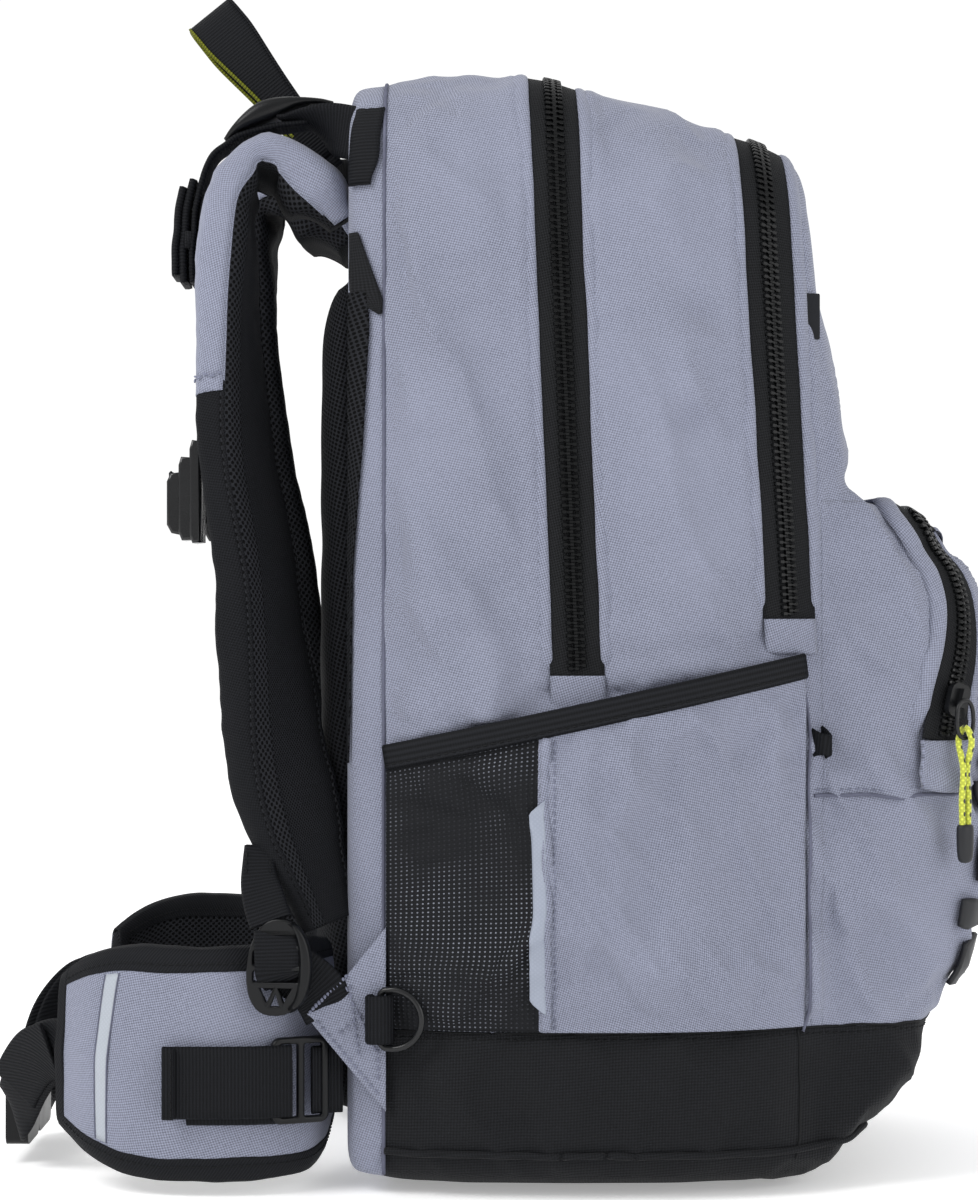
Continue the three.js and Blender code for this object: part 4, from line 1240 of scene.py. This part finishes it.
def lower_locks():
    """Ladder locks on the strap ends: a rounded frame, two bars and a lattice below."""
    outer = []
    for a in np.linspace(0, 2 * math.pi, 40)[:-1]:
        u = math.sin(a) * (1 - 0.08 * math.cos(a))
        outer.append((math.copysign(abs(u) ** 0.78, u) * 0.0142, 0.0225 * math.cos(a) - 0.0004))
    windows = [rounded(0.0098, 0.0030, 0.0012, (0, 0.0128)),
               rounded(0.0112, 0.0034, 0.0012, (0, 0.0040)),
               rounded(0.0110, 0.0026, 0.0012, (0, -0.0046)),
               *mm([[(-7.8, -10), (-1, -10), (-4, -17.2)], [(7.8, -10), (1, -10), (4, -17.2)],
                    [(-2.2, -18.6), (2.2, -18.6), (0, -12.6)]])]
    turn = 0.16
    lock = plate("lower_lock", [outer, *windows], 0.0042, 0.0009, (-0.1392, 0.134, 0.1040),
                 (math.sin(turn), math.cos(turn), 0.0), unit([-0.06, -0.06, 1.0]))
    both(lock, plastic, "strap_lock_{}", "lower_lock")
    through = smooth_path(mm([(-139.8, 134.2, 120.5), (-141.8, 134.0, 115), (-142.4, 133.7, 108),
                              (-140.5, 133.4, 100.5), (-137.8, 131, 96.5)]), 40)
    both(strip("lock_webbing", through, Y, 0.0212, THIN_WEB), webbing, "strap_lock_{}")
    angle = np.linspace(0.25, math.pi - 0.25, 30)
    bow = np.sin(angle)
    rim = columns(-0.1420 - 0.0012 * bow, 0.1332 - 0.0125 * bow**0.7,
                  0.104 + 0.0205 * np.cos(angle))
    sections = flat_sections(0.0016 + 0.0046 * bow, 0.0034, 6)
    both(sweep("lock_rim", rim, Y, sections), plastic, "strap_lock_{}")


def lower_webbing():
    line = mm([(-131.5, 110, 82), (-132.6, 115, 91), (-134.2, 121, 97), (-135.9, 129, 102.5),
               (-136.4, 136, 106)])
    both(strip("lower_webbing_strip", smooth_path(line, 50), (0, -0.73, 0.68), WEB_WIDTH,
               THIN_WEB), webbing, node="lower_webbing")


# ------------------------------------------------------------------ strap anchor and rings
def anchor_cloth():
    """The folded grey corner that holds the lower webbing, sewn flat on the back seam."""
    tip, neck, high, low = np.array([(122.5, 81.5), (104, 97), (84.5, 121), (84.5, 36)])
    down = np.linspace(0, 1, 30)
    left = read_at(down, [0, 0.42, 1], [tip, neck, high])[:, None]
    right = read_at(down, [0, 1], [tip, low])[:, None]
    y, z = np.moveaxis(mm(left + (right - left) * np.linspace(0, 1, 24)[:, None]), -1, 0)
    x = -ANCHOR_SIDE - 0.0012 * np.sin(np.linspace(0, math.pi, 24))
    x = x + clamp((0.1 - y) / 0.016) * (ANCHOR_SIDE - half_width(BACK_SEAM, 0.07) - 0.0052)
    points = np.stack([x, y, z], axis=-1)
    points[..., 0] -= 0.0007 * ripple(points, 31, 70)
    cloth = grid("anchor_cloth", points)
    if cloth.data.polygons[0].normal.x > 0:
        cloth.data.flip_normals()
    both(box_uvs(backed(cloth, 0.002)), grey_cloth, node="strap_anchor")

    def on_cloth(a, b):
        places = points.reshape(-1, 3)
        line = mm(np.linspace(a, b, 60))
        nearest = [places[np.linalg.norm(places[:, 1:] - p, axis=1).argmin(), 0] for p in line]
        return np.insert(line, 0, np.array(nearest) - 0.0009, axis=1)

    out = outwards(60)
    bartack = on_cloth(tip + (-3.5, 1.5), neck + (-1.5, 1.5))
    sew("anchor_bartack", [(bartack + [0, s * 0.0008, -s * 0.0010], out) for s in (-1.6, 0, 1.6)],
        grey_thread, length=0.0017, gap=0.0003, radius=0.0007)
    rows = [(tip + (-6, -3), low + (3, 8)), (neck + (-3, -2), low + (12, 24)),
            (neck + (-1, -3), (88, 62)), ((106, 72), (88, 88)), ((88, 88), (88, 50))]
    sew("anchor_stitches", [(on_cloth(a, b), out) for a, b in rows], grey_thread, radius=0.00045)


def wire_loop(name, centre, out, radius):
    """A closed loop of round wire in the plane across `out`."""
    ahead = unit(np.roll(centre, -1, axis=0) - np.roll(centre, 1, axis=0))
    rim = np.cross(ahead, out)
    ring = round_section(radius)
    rows = centre[:, None] + rim[:, None] * ring[:, :1] + out * ring[:, 1:]
    return grid(name, np.concatenate([rows, rows[:1]]), closed=True)


def gear_rings():
    """D-shaped rings, a straight bar in a webbing tab and an arc in front of it."""
    tab = mm([(-134, 90.5, 79.5), (-138.5, 93, 79.5), (-141.8, 90, 79.5), (-141.6, 85, 79.5),
              (-138.5, 81.5, 79.5), (-134.5, 82.5, 79.5)])
    both(strip("ring_tab", smooth_path(tab, 50), Z, 0.0225, 0.0017), webbing,
         node="gear_ring_tab")
    turn, half, straight, reach = 0.27, 0.0135, 0.006, 0.020
    arc = [(-straight - (reach - straight) * math.sin(a), half * math.cos(a))
           for a in np.linspace(0, math.pi, 40)]
    back = [(-0.002, -half + 0.0004), (-0.0003, -half + 0.002), (-0.0003, half - 0.002),
            (-0.002, half - 0.0004)]
    outline = resample(np.array([*arc, *back, arc[0]]), 97)[:-1]
    ahead = np.array([math.sin(turn), math.cos(turn), 0.0])
    centre = np.array([-0.1367, 0.087, 0.0795]) + ahead * outline[:, :1] + Z * outline[:, 1:]
    both(wire_loop("d_ring", centre, np.cross(ahead, Z), 0.0016), lacquer, "ring_{}", "gear_ring")


# ------------------------------------------------------------------ load lifters and handle
def load_lifters():
    """The webbing from the bag to the straps, and the patches at the straps' roots."""
    anchor = smooth_path(mm([(-97, 92, 492), (-93, 101, 493.5), (-87, 110, 496), (-80, 119, 499),
                             (-74, 127, 501.5), (-71, 134, 502)]), 60)
    turn = np.radians(84) * smoothstep(np.linspace(0, 1, 60), 0.25, 0.85)[:, None]
    across = unit(Z * np.cos(turn) - X * np.sin(turn))
    both(strip("lifter_anchor", anchor, across, WEB_WIDTH, WEB_THICK), webbing,
         node="load_lifter_anchor")
    z = np.linspace(0.508, 0.466, 14)
    both(bag_patch("lifter_patch", z, 0.0885 + 0.004 * smoothstep(z, 0.48, 0.466), 0.1045, 0.002,
                   0.0014, 0.0012), webbing)
    z = np.linspace(0.444, 0.405, 14)
    edges = np.interp(z, [0.405, 0.412, 0.444], [0.0870, 0.0865, 0.0985])
    backs = np.interp(z, [0.405, 0.415, 0.444], [0.0885, 0.1035, 0.1045])
    both(bag_patch("strap_root_patch", z, edges, backs, 0.002, 0.0012, 0.001), black_cloth)

    path = smooth_path(mm([(-70, 124, 501), (-70, 142, 498.5), (-70, 155, 495), (-70, 163, 490),
                           (-71, 170, 483), (-72, 175, 470), (-73, 177.5, 453),
                           (-74.5, 178.5, 437), (-75.2, 178, 423)]), 80)
    path[:, 1] += 0.0009 * ripple(path, 41, 90)
    layers = [strip("lifter_tail", path, -X, WEB_WIDTH, 0.0026)]
    for k, (first, last, lift) in enumerate(((44, 80, 0.0042), (47, 78, 0.0080),
                                             (51, 74, -0.0036))):
        layer = path[first:last] + [0.0004 * k, lift, 0.0006 * k]
        layers.append(strip(f"tail_layer_{k}", layer, -X, 0.0248, 0.0036))
    both(join("lifter_tail", layers), webbing,
         ("bag", "harness", (0, 0.160, 0.5), (0, 0.176, 0.5)), "load_lifter_tail")
    keeper = path[[64, 66]] + mm([(0, 2.2, 3), (0, 2.2, -2)])
    both(strip("lifter_keeper", keeper, -X, 0.027, 0.0152), black_cloth, "harness",
         slot="webbing")

    tongue = smooth_path(mm([(-70, 111.6, 509.2), (-70, 118, 510.5), (-70, 127, 510.6),
                             (-70, 136, 509), (-70, 145, 506), (-70, 153, 501.5),
                             (-70, 159.5, 496.5), (-70, 163, 492.5)]), 60)
    t = np.linspace(0, 1, 60)
    half_thick = 0.0013 + 0.0037 * hump(t, 0.58, 0.25)
    widths = 0.0295 * (1 - 0.35 * smoothstep(t, 0.75, 1.0) ** 2)
    sections = np.array([pad_section(w, k, k, 28, 0.3) for w, k in zip(widths, half_thick)])
    both(sweep("lifter_lock", tongue, -X, sections), plastic, "lifter_lock_{}",
         "load_lifter_lock")
    bar = tube("lifter_bar", [(-0.0815, 0.119, 0.5055), (-0.0580, 0.119, 0.5055)], 0.0019, 12)
    both(bar, plastic, "lifter_lock_{}")


def haul_handle():
    """A webbing loop that stands up and leans back, one edge in lime."""
    lean, reach, half, curl = math.radians(39), 0.096, 0.022, 1.35
    t = np.linspace(-1, 1, 120)
    rise = reach * (1 - np.abs(t) ** 3.2)
    line = columns(half * np.sin(curl * t) / math.sin(curl), 0.117 + rise * math.sin(lean),
                   0.492 + rise * math.cos(lean))
    widths = 0.026 - 0.012 * smoothstep(np.abs(t), 0.55, 1)
    wide = np.array([0.0, math.cos(lean), -math.sin(lean)])
    loop = sweep("haul_loop", line, wide, flat_sections(widths, WEB_THICK))
    finish(loop, webbing, "handle", ["haul_handle"])
    for name, side, cloth in (("haul_edge", 1, lime_edge), ("haul_edge_inner", -1, webbing)):
        edge = line + wide * (side * (widths[:, None] / 2 - 0.0006))
        finish(strip(name, edge[4:-4], wide, 0.0021, 0.0031, 4), cloth, "handle")


def sternum_strap():
    """The sternum webbing, and the stepped clips that slide on the shoulder straps."""
    line = smooth_path(mm([(-100, 187, 323), (-80, 187.8, 323), (-47, 188, 323),
                           (-24.4, 187, 323)]), 60)
    for side, mirror, body in (("left", 1, "sternum_plug"), ("right", -1, "sternum_strap")):
        finish(strip(f"sternum_{side}", line * [mirror, 1, 1], Z, 0.020, THIN_WEB), webbing, body,
               [f"sternum_webbing_{side}"])
    steps = ((0.0265, [(-6.2, -23.8), (-2.2, -24.3), (-0.8, -20.5), (-0.8, 20.0), (-2.0, 24.3),
                       (-6.2, 23.6)]),
             (0.0215, [(-3.0, -22.5), (3.0, -23.0), (4.6, -19.0), (4.6, 12.5), (3.4, 16.5),
                       (-3.0, 16.0)]),
             (0.0160, [(3.0, -20.5), (8.2, -19.5), (10.4, -15.5), (10.4, 5.0), (8.6, 8.8),
                       (3.0, 9.4)]))
    clip = [plate(f"clip_step_{k}", [mm(outline)], wide, 0.0012, (-0.094, 0.1785, 0.323), Y, Z)
            for k, (wide, outline) in enumerate(steps)]
    both(join("sternum_clip_shape", clip), gloss_plastic, "sternum_strap", "sternum_clip")


# ------------------------------------------------------------------ hip belt
def wing_rows(count=120):
    line = smooth_path(mm([(-64, 119, 62), (-90, 122, 60), (-112, 130, 58), (-123, 151, 57),
                           (-123.5, 182, 57), (-113, 214, 59), (-94, 238, 60)]), count)
    t = np.linspace(0, 1, count)
    heights = 0.092 + 0.014 * smoothstep(t, 0, 0.2)
    heights = heights * (1 - 0.36 * clamp((t - 0.6) / 0.4) ** 2.6)
    half_thick = 0.007 * (1 - 0.4 * smoothstep(t, 0.72, 1))
    rows = sections_along(line, Z, np.array([pad_section(h, k + 0.0005, k, 56, 0.3)
                                             for h, k in zip(heights, half_thick)]))
    wave = 0.0012 * ripple(rows, 51, 30) + 0.0005 * ripple(rows, 52, 80)
    return rows + out_of(rows) * wave[..., None]


def hip_wings():
    rows = wing_rows()
    out = out_of(rows)
    count = rows.shape[1]
    padded_pair("wing_lining", rows, 0.0005, coarse_mesh, "hip_belt", "hip_wing")
    both(band("wing_cover", rows, 0.285, 0.715, 0.0008, 0.0011), grey_cloth, "hip_belt")
    for name, middle in (("wing_binding_low", 0.75), ("wing_binding_top", 0.25)):
        both(band(name, rows, middle - 0.068, middle + 0.068, 0.0019, 0.0016), binding,
             "hip_belt")
        for k, shift in enumerate((-0.058, 0.058)):
            at = round((middle + shift) * count) % count
            away = out[3:-3, at]
            path = resample(rows[3:-3, at] + away * 0.0024, 160)
            sew(f"{name}_stitches_{k}", [(path, resample(away, 160))], black_thread, "hip_belt",
                0.0022, 0.001, 0.00028)
    cap = faced_out(grid("wing_end", rows[-5:] + out[-5:] * 0.0019, closed=True), rows)
    both(backed(cap, 0.0014), binding, "hip_belt")

    low, high = round(0.315 * count), round(0.685 * count)
    stripe = []
    for k in range(low, high + 1):
        share = (k - low) / (high - low)
        centre = 0.800 + 0.012 * math.sin(math.pi * share) + 0.012 * share
        at = np.linspace(centre - 0.0195, centre + 0.0195, 8) * (len(rows) - 1)
        lift = out[int(at.mean()), k] * 0.0014
        stripe.append(read_at(at, np.arange(len(rows)), rows[:, k]) + lift)
    stripe = np.array(stripe)
    tape = faced_out(grid("wing_stripe", stripe), rows)
    both(backed(tape, 0.0005), reflective_tape, "hip_belt")
    # Painted shadow lines along both edges of the reflective stripe, in the darker seam_shadow
    # grey.
    edges = [tube(f"stripe_edge_{k}", stripe[:, k], 0.0004, across=Y) for k in (0, -1)]
    both(join("stripe_edge_shadows", edges), seam_shadow, "hip_belt")


def hip_webbing():
    """The stabilisers with their sliders, and the belt's webbing up to the buckle."""
    line = mm([(-119, 105), (-121, 113), (-124.5, 121), (-128.5, 131), (-132.4, 145),
               (-133.6, 160), (-133.4, 187)])
    path = smooth_path(np.insert(line, 2, STABILISER_HEIGHT, axis=1), 80) - [0.0012, 0, 0]
    root, tail = path[path[:, 1] < 0.1195], path[path[:, 1] > 0.1275]
    both(join("stabiliser", [
        strip("stabiliser_root", root, Z, 0.0315, WEB_THICK),
        strip("stabiliser_tail", tail + [-0.0026, 0, 0.0006], Z, 0.0335, WEB_THICK),
        strip("stabiliser_under", tail[:-10] + [0.0010, 0, -0.0045], Z, 0.030, THIN_WEB),
        strip("stabiliser_end", tail[-6:] + [-0.0048, 0, 0.0006], Z, 0.0335, WEB_THICK)]),
        webbing, "hip_belt", "hip_stabiliser")
    seam = tail[-5] + [-0.0064, 0, 0] + Z * np.linspace(-0.0145, 0.0155, 20)[:, None]
    sew("stabiliser_stitches", [(seam, outwards(20))], black_thread, "hip_belt", slot="webbing")
    slots = [rounded(0.0042, 0.0168, 0.001, (u, 0)) for u in (-0.0062, 0.0056)]
    lock = plate("hip_lock", [rounded(0.0140, 0.0200, 0.0045), *slots], 0.0040, 0.0011,
                 (-0.1272, 0.1245, 0.0500), (-0.38, 0.925, 0), Z)
    both(lock, plastic, "hip_belt", "hip_slider")
    for side, body, line in (
            ("left", "hip_plug", [(-99, 233, 60), (-90, 242.5, 58.5), (-82, 250.5, 54),
                                  (-72, 258.5, 43), (-63, 264.5, 31), (-57, 267.5, 24),
                                  (-51.6, 268, 22)]),
            ("right", "hip_belt", [(99, 233, 70), (90, 242.5, 69), (80, 251.5, 66),
                                   (66, 261, 54), (54, 266, 37), (44, 268, 24.5),
                                   (31.6, 268, 22)])):
        path = smooth_path(mm(line), 70)
        belt = strip(f"hip_webbing_{side}", path, (0, 0.3, 1), 0.030, 0.0022)
        fold = strip(f"hip_fold_{side}", path[10:48] + [0, 0.0042, -0.001], (0, 0.42, 0.9),
                     0.0285, THIN_WEB)
        finish(join(f"hip_webbing_{side}", [belt, fold]), belt_webbing, body,
               [f"hip_belt_webbing_{side}"])


# ------------------------------------------------------------------ back padding
def pillow(name, centre, size, seed):
    """A padded block of spacer mesh: full in the middle, drawn in at its edges."""
    width, height, depth = size
    u, v = np.meshgrid(np.linspace(-1, 1, 36), np.linspace(-1, 1, 90))
    dome = (1 - np.abs(u) ** 3.2) ** 0.5 * (1 - np.abs(v) ** 9) ** 0.5
    rows = np.stack([centre[0] + u * width / 2 * (1 - 0.3 * np.abs(v) ** 6),
                     PAD_ROOT + depth * dome, centre[1] + v * height / 2], axis=-1)
    rows[..., 1] += 0.0008 * ripple(rows, seed, 40)
    piece = grid(name, rows[:, ::-1])
    if piece.data.polygons[len(piece.data.polygons) // 2].normal.y < 0:
        piece.data.flip_normals()
    return backed(piece, 0.0015)


def back_padding():
    pad = pillow("back_cushion", (-0.058, 0.281), (0.074, 0.286, 0.0142), 61)
    pads = both(pad, pad_mesh, node="back_pad")
    lumbar = pillow("lumbar_cushion", (0.0, 0.074), (0.122, 0.104, 0.0195), 62)
    for piece in (*pads, finish(lumbar, pad_mesh, replaces=["lumbar_pad"])):
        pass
    z = np.linspace(0.416, 0.196, 60)
    edges = np.interp(z, [0.196, 0.23, 0.29, 0.344, 0.4, 0.416],
                      [0.1058, 0.1038, 0.1015, 0.0965, 0.0933, 0.0945])
    both(bag_patch("back_gusset", z, edges, 0.1065, 0.003, 0.0012, 0.001), pad_mesh)
    dressed(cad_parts["frame_sheet"], hidden_sheet)


# ------------------------------------------------------------------ front pocket trim
def on_pocket(z, turn, lift):
    """A point on the finished skin, `turn` degrees round the left corner of the pocket."""
    return on_bag(pocket_corner(z, turn, 0.002), lift)


def pocket_patch(name, heights, turns, lift, thickness):
    rows = [[on_pocket(z, turn, lift)[0] for turn in turns] for z in heights]
    return patch(name, rows, thickness)


def pocket_trim_front():
    """The tab at the zip's end, a painted shadow line and stitches along the seam across the
    pocket, and plain raised rubber bars down its front corner."""
    both(pocket_patch("pocket_end_tab", np.linspace(0.2062, 0.1835, 10), np.linspace(11, 46, 14),
                      0.0030, 0.0022), grey_cloth)
    edge = [on_pocket(0.2035, turn, 0.0034) for turn in np.linspace(12, 45, 30)]
    sew("pocket_tab_stitches", [tuple(zip(*edge))], grey_thread)
    z = CROSS_SEAM + 0.001
    side = [(POCKET_SIDE + 0.0005, y, z) for y in np.linspace(POCKET_FRONT - 0.004, -0.153, 34)]
    side += [pocket_corner(z, turn, 0.001) for turn in np.linspace(2, 60, 30)]
    # A painted shadow line along the seam across the pocket: a thin tube in the darker
    # seam_shadow grey.
    both(tube("pocket_cross_seam_shadow", seam_path(side, 0.0003, 6)[0], 0.0009), seam_shadow)
    sew("pocket_cross_stitches", [seam_path(np.array(side) + [0, 0, 0.0028], 0.0002, 6)],
        grey_thread)
    top = 0.268
    bars = []
    for k, (height, low) in enumerate(((0.022, 66), (0.012, 58), (0.030, 70), (0.016, 60),
                                       (0.026, 66), (0.013, 56), (0.022, 68))):
        bars.append(pocket_patch(f"relief_{k}", np.linspace(top, top - height, 8),
                                 np.linspace(low, 94, 10), 0.0022, 0.0024))
        top -= height + 0.006
    finish(join("relief_blocks", bars), rubber)


def small_tabs():
    """The plain label and the webbing loop at the front side edge."""
    label = plate("side_label", [rounded(0.0050, 0.0108, 0.0008)], 0.0014, 0.0003,
                  on_bag((-0.1045, -0.1105, 0.4040), 0.0006)[0], (0.30, -0.954, 0), Z)
    both(label, black_cloth, slot="webbing")
    loop = mm([(-116.5, -112, 205.5), (-122.5, -114.5, 205.5), (-126.2, -118, 205),
               (-125, -121.2, 204.5), (-120, -120.5, 205), (-115, -118, 205)])
    widths = 0.0185 - 0.0085 * np.sin(np.linspace(0, math.pi, 50))
    both(sweep("gear_loop", smooth_path(loop, 50), Z, flat_sections(widths, 0.0018)), webbing)


# ------------------------------------------------------------------ sliders and pulls
def pocket_pull():
    """The pocket slider's wire loop, its doubled lime cord and the moulded tip."""
    hinge = np.array([-0.11681, -0.18510, 0.225])
    axes = np.array([(0.52992, -0.84805, 0.0), (-0.84805, -0.52992, 0.0), Z])
    side, out, _ = axes
    angle = np.linspace(0, 2 * math.pi, 49)[:-1]
    s, c = [np.sign(v) * np.abs(v) ** 0.8 for v in (np.sin(angle), np.cos(angle))]
    centre = hinge + side * (0.0050 * s)[:, None] + Z * (0.00875 * (c - 1))[:, None]
    loop = wire_loop("pocket_wire", centre, np.cross(side, Z), 0.0010)
    finish(loop, lacquer, "pocket_pull", ["pocket_zip_pull"])

    half = mm([(-1.65, 0, -59), (-1.95, 0, -46), (-1.75, 0.7, -32), (-1.65, -2.6, -20),
               (-0.8, -2.2, -14.9), (0, 0, -12.5)])
    points = np.vstack([half, half[-2::-1] * [-1, -1, 1]])
    path = smooth_path(hinge + points @ axes, 140)
    cord = sweep("pull_cord", path, unit(out + side * 0.3), round_section(0.0015, 12))
    finish(cord, lime_cloth, "pocket_pull")

    angle = np.linspace(0, 2 * math.pi, 25)[:-1]
    round_tip = columns(1.05 * np.cos(angle), 0.8 * np.sin(angle), 0 * angle) @ axes
    rings = mm([(0, 3.0), (0.6, 4.0), (2.2, 4.4), (13, 4.2), (17, 3.6), (18.2, 2.0)])
    rows = [hinge - Z * (0.0575 + drop) + radius * round_tip for drop, radius in rings]
    tip = subdivide(grid("cord_tip", rows, closed=True, caps=True))
    finish(tip, rubber, "pocket_pull")


def hard_parts():
    """The CAD's own moulded and metal parts, with rounded edges."""
    buckles = [f"{strap}_buckle_{part}" for strap in ("sternum", "hip")
               for part in ("housing", "plug")]
    for nodes, material, width in (
            (buckles, plastic, 0.0011),
            (("main_zip_slider", "second_zip_slider", "pocket_zip_slider"), lacquer, 0.0005),
            (("main_zip_pull", "second_zip_pull"), lacquer, 0.0003)):
        for node in nodes:
            obj = dressed(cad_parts[node], material)
            bevel = obj.modifiers.new("bevel", "BEVEL")
            bevel.width = width
            bevel.segments = 3
            bevel.limit_method = "ANGLE"
            for polygon in obj.data.polygons:
                polygon.use_smooth = True


bag_zip("main_zip", main_zip_plane, MAIN_ZIP_END, 0.016)
bag_zip("second_zip", second_zip_plane, SECOND_ZIP_END, 0.015)
pocket_zip()
bag_seams()
pocket_cloth = side_pockets()
pocket_trim()
reflective_side_tab()
shoulder_straps()
lower_strap_tab()
lower_locks()
lower_webbing()
anchor_cloth()
gear_rings()
load_lifters()
haul_handle()
sternum_strap()
hip_wings()
hip_webbing()
back_padding()
pocket_trim_front()
small_tabs()
pocket_pull()
hard_parts()


# ------------------------------------------------------------------ camera, light, floor
def softbox(name, place, size, power):
    light = bpy.data.lights.new(name, "AREA")
    light.size = size
    light.energy = power
    obj = linked(name, light)
    obj.location = place
    aim = Vector(BAG_MIDDLE) - Vector(place)
    obj.rotation_euler = aim.to_track_quat("-Z", "Y").to_euler()


def make_stage():
    camera = linked("camera", bpy.data.cameras.new("camera"))
    camera.data.sensor_width = 36
    camera.data.lens = 89
    camera.location = (-1.5, 0.0369, 0.272)
    camera.rotation_euler = (math.pi / 2, 0, -math.pi / 2)
    scene.camera = camera

    world = bpy.data.worlds.new("studio")
    world.use_nodes = True
    nodes, links = world.node_tree.nodes, world.node_tree.links
    place = nodes.new("ShaderNodeTexCoord")
    parts = nodes.new("ShaderNodeSeparateXYZ")
    fade = nodes.new("ShaderNodeMapRange")
    fade.interpolation_type = "SMOOTHSTEP"
    for socket, value in (("From Min", -0.5), ("From Max", 0.75), ("To Min", 0.74),
                          ("To Max", 1.04)):
        fade.inputs[socket].default_value = value
    background = nodes["Background"]
    background.inputs["Color"].default_value = (1.0, 1.0, 1.0, 1.0)
    links.new(place.outputs["Generated"], parts.inputs[0])
    links.new(parts.outputs[0], fade.inputs["Value"])
    links.new(fade.outputs[0], background.inputs["Strength"])
    scene.world = world
    softbox("key", (-1.0, 1.3, 1.5), 0.9, 22)
    softbox("fill", (-1.4, -1.4, 0.7), 1.2, 11)

    floor = new_object("floor", [(-6, -6, 0), (6, -6, 0), (6, 6, 0), (-6, 6, 0)],
                       [(0, 1, 2, 3)])
    paint = Graph("pale_floor", 0.9, 0.0, 0.2)
    white = (1.0, 1.0, 1.0, 1.0)
    paint.set("Base Color", paint.mix(paint.noise(3.0, 3.0), tint(white, 0.98), white))
    paint.set("Emission Color", white)
    paint.set("Emission Strength", 0.3)
    dressed(floor, paint.material)
    floor.location.z = -0.0045


make_stage()
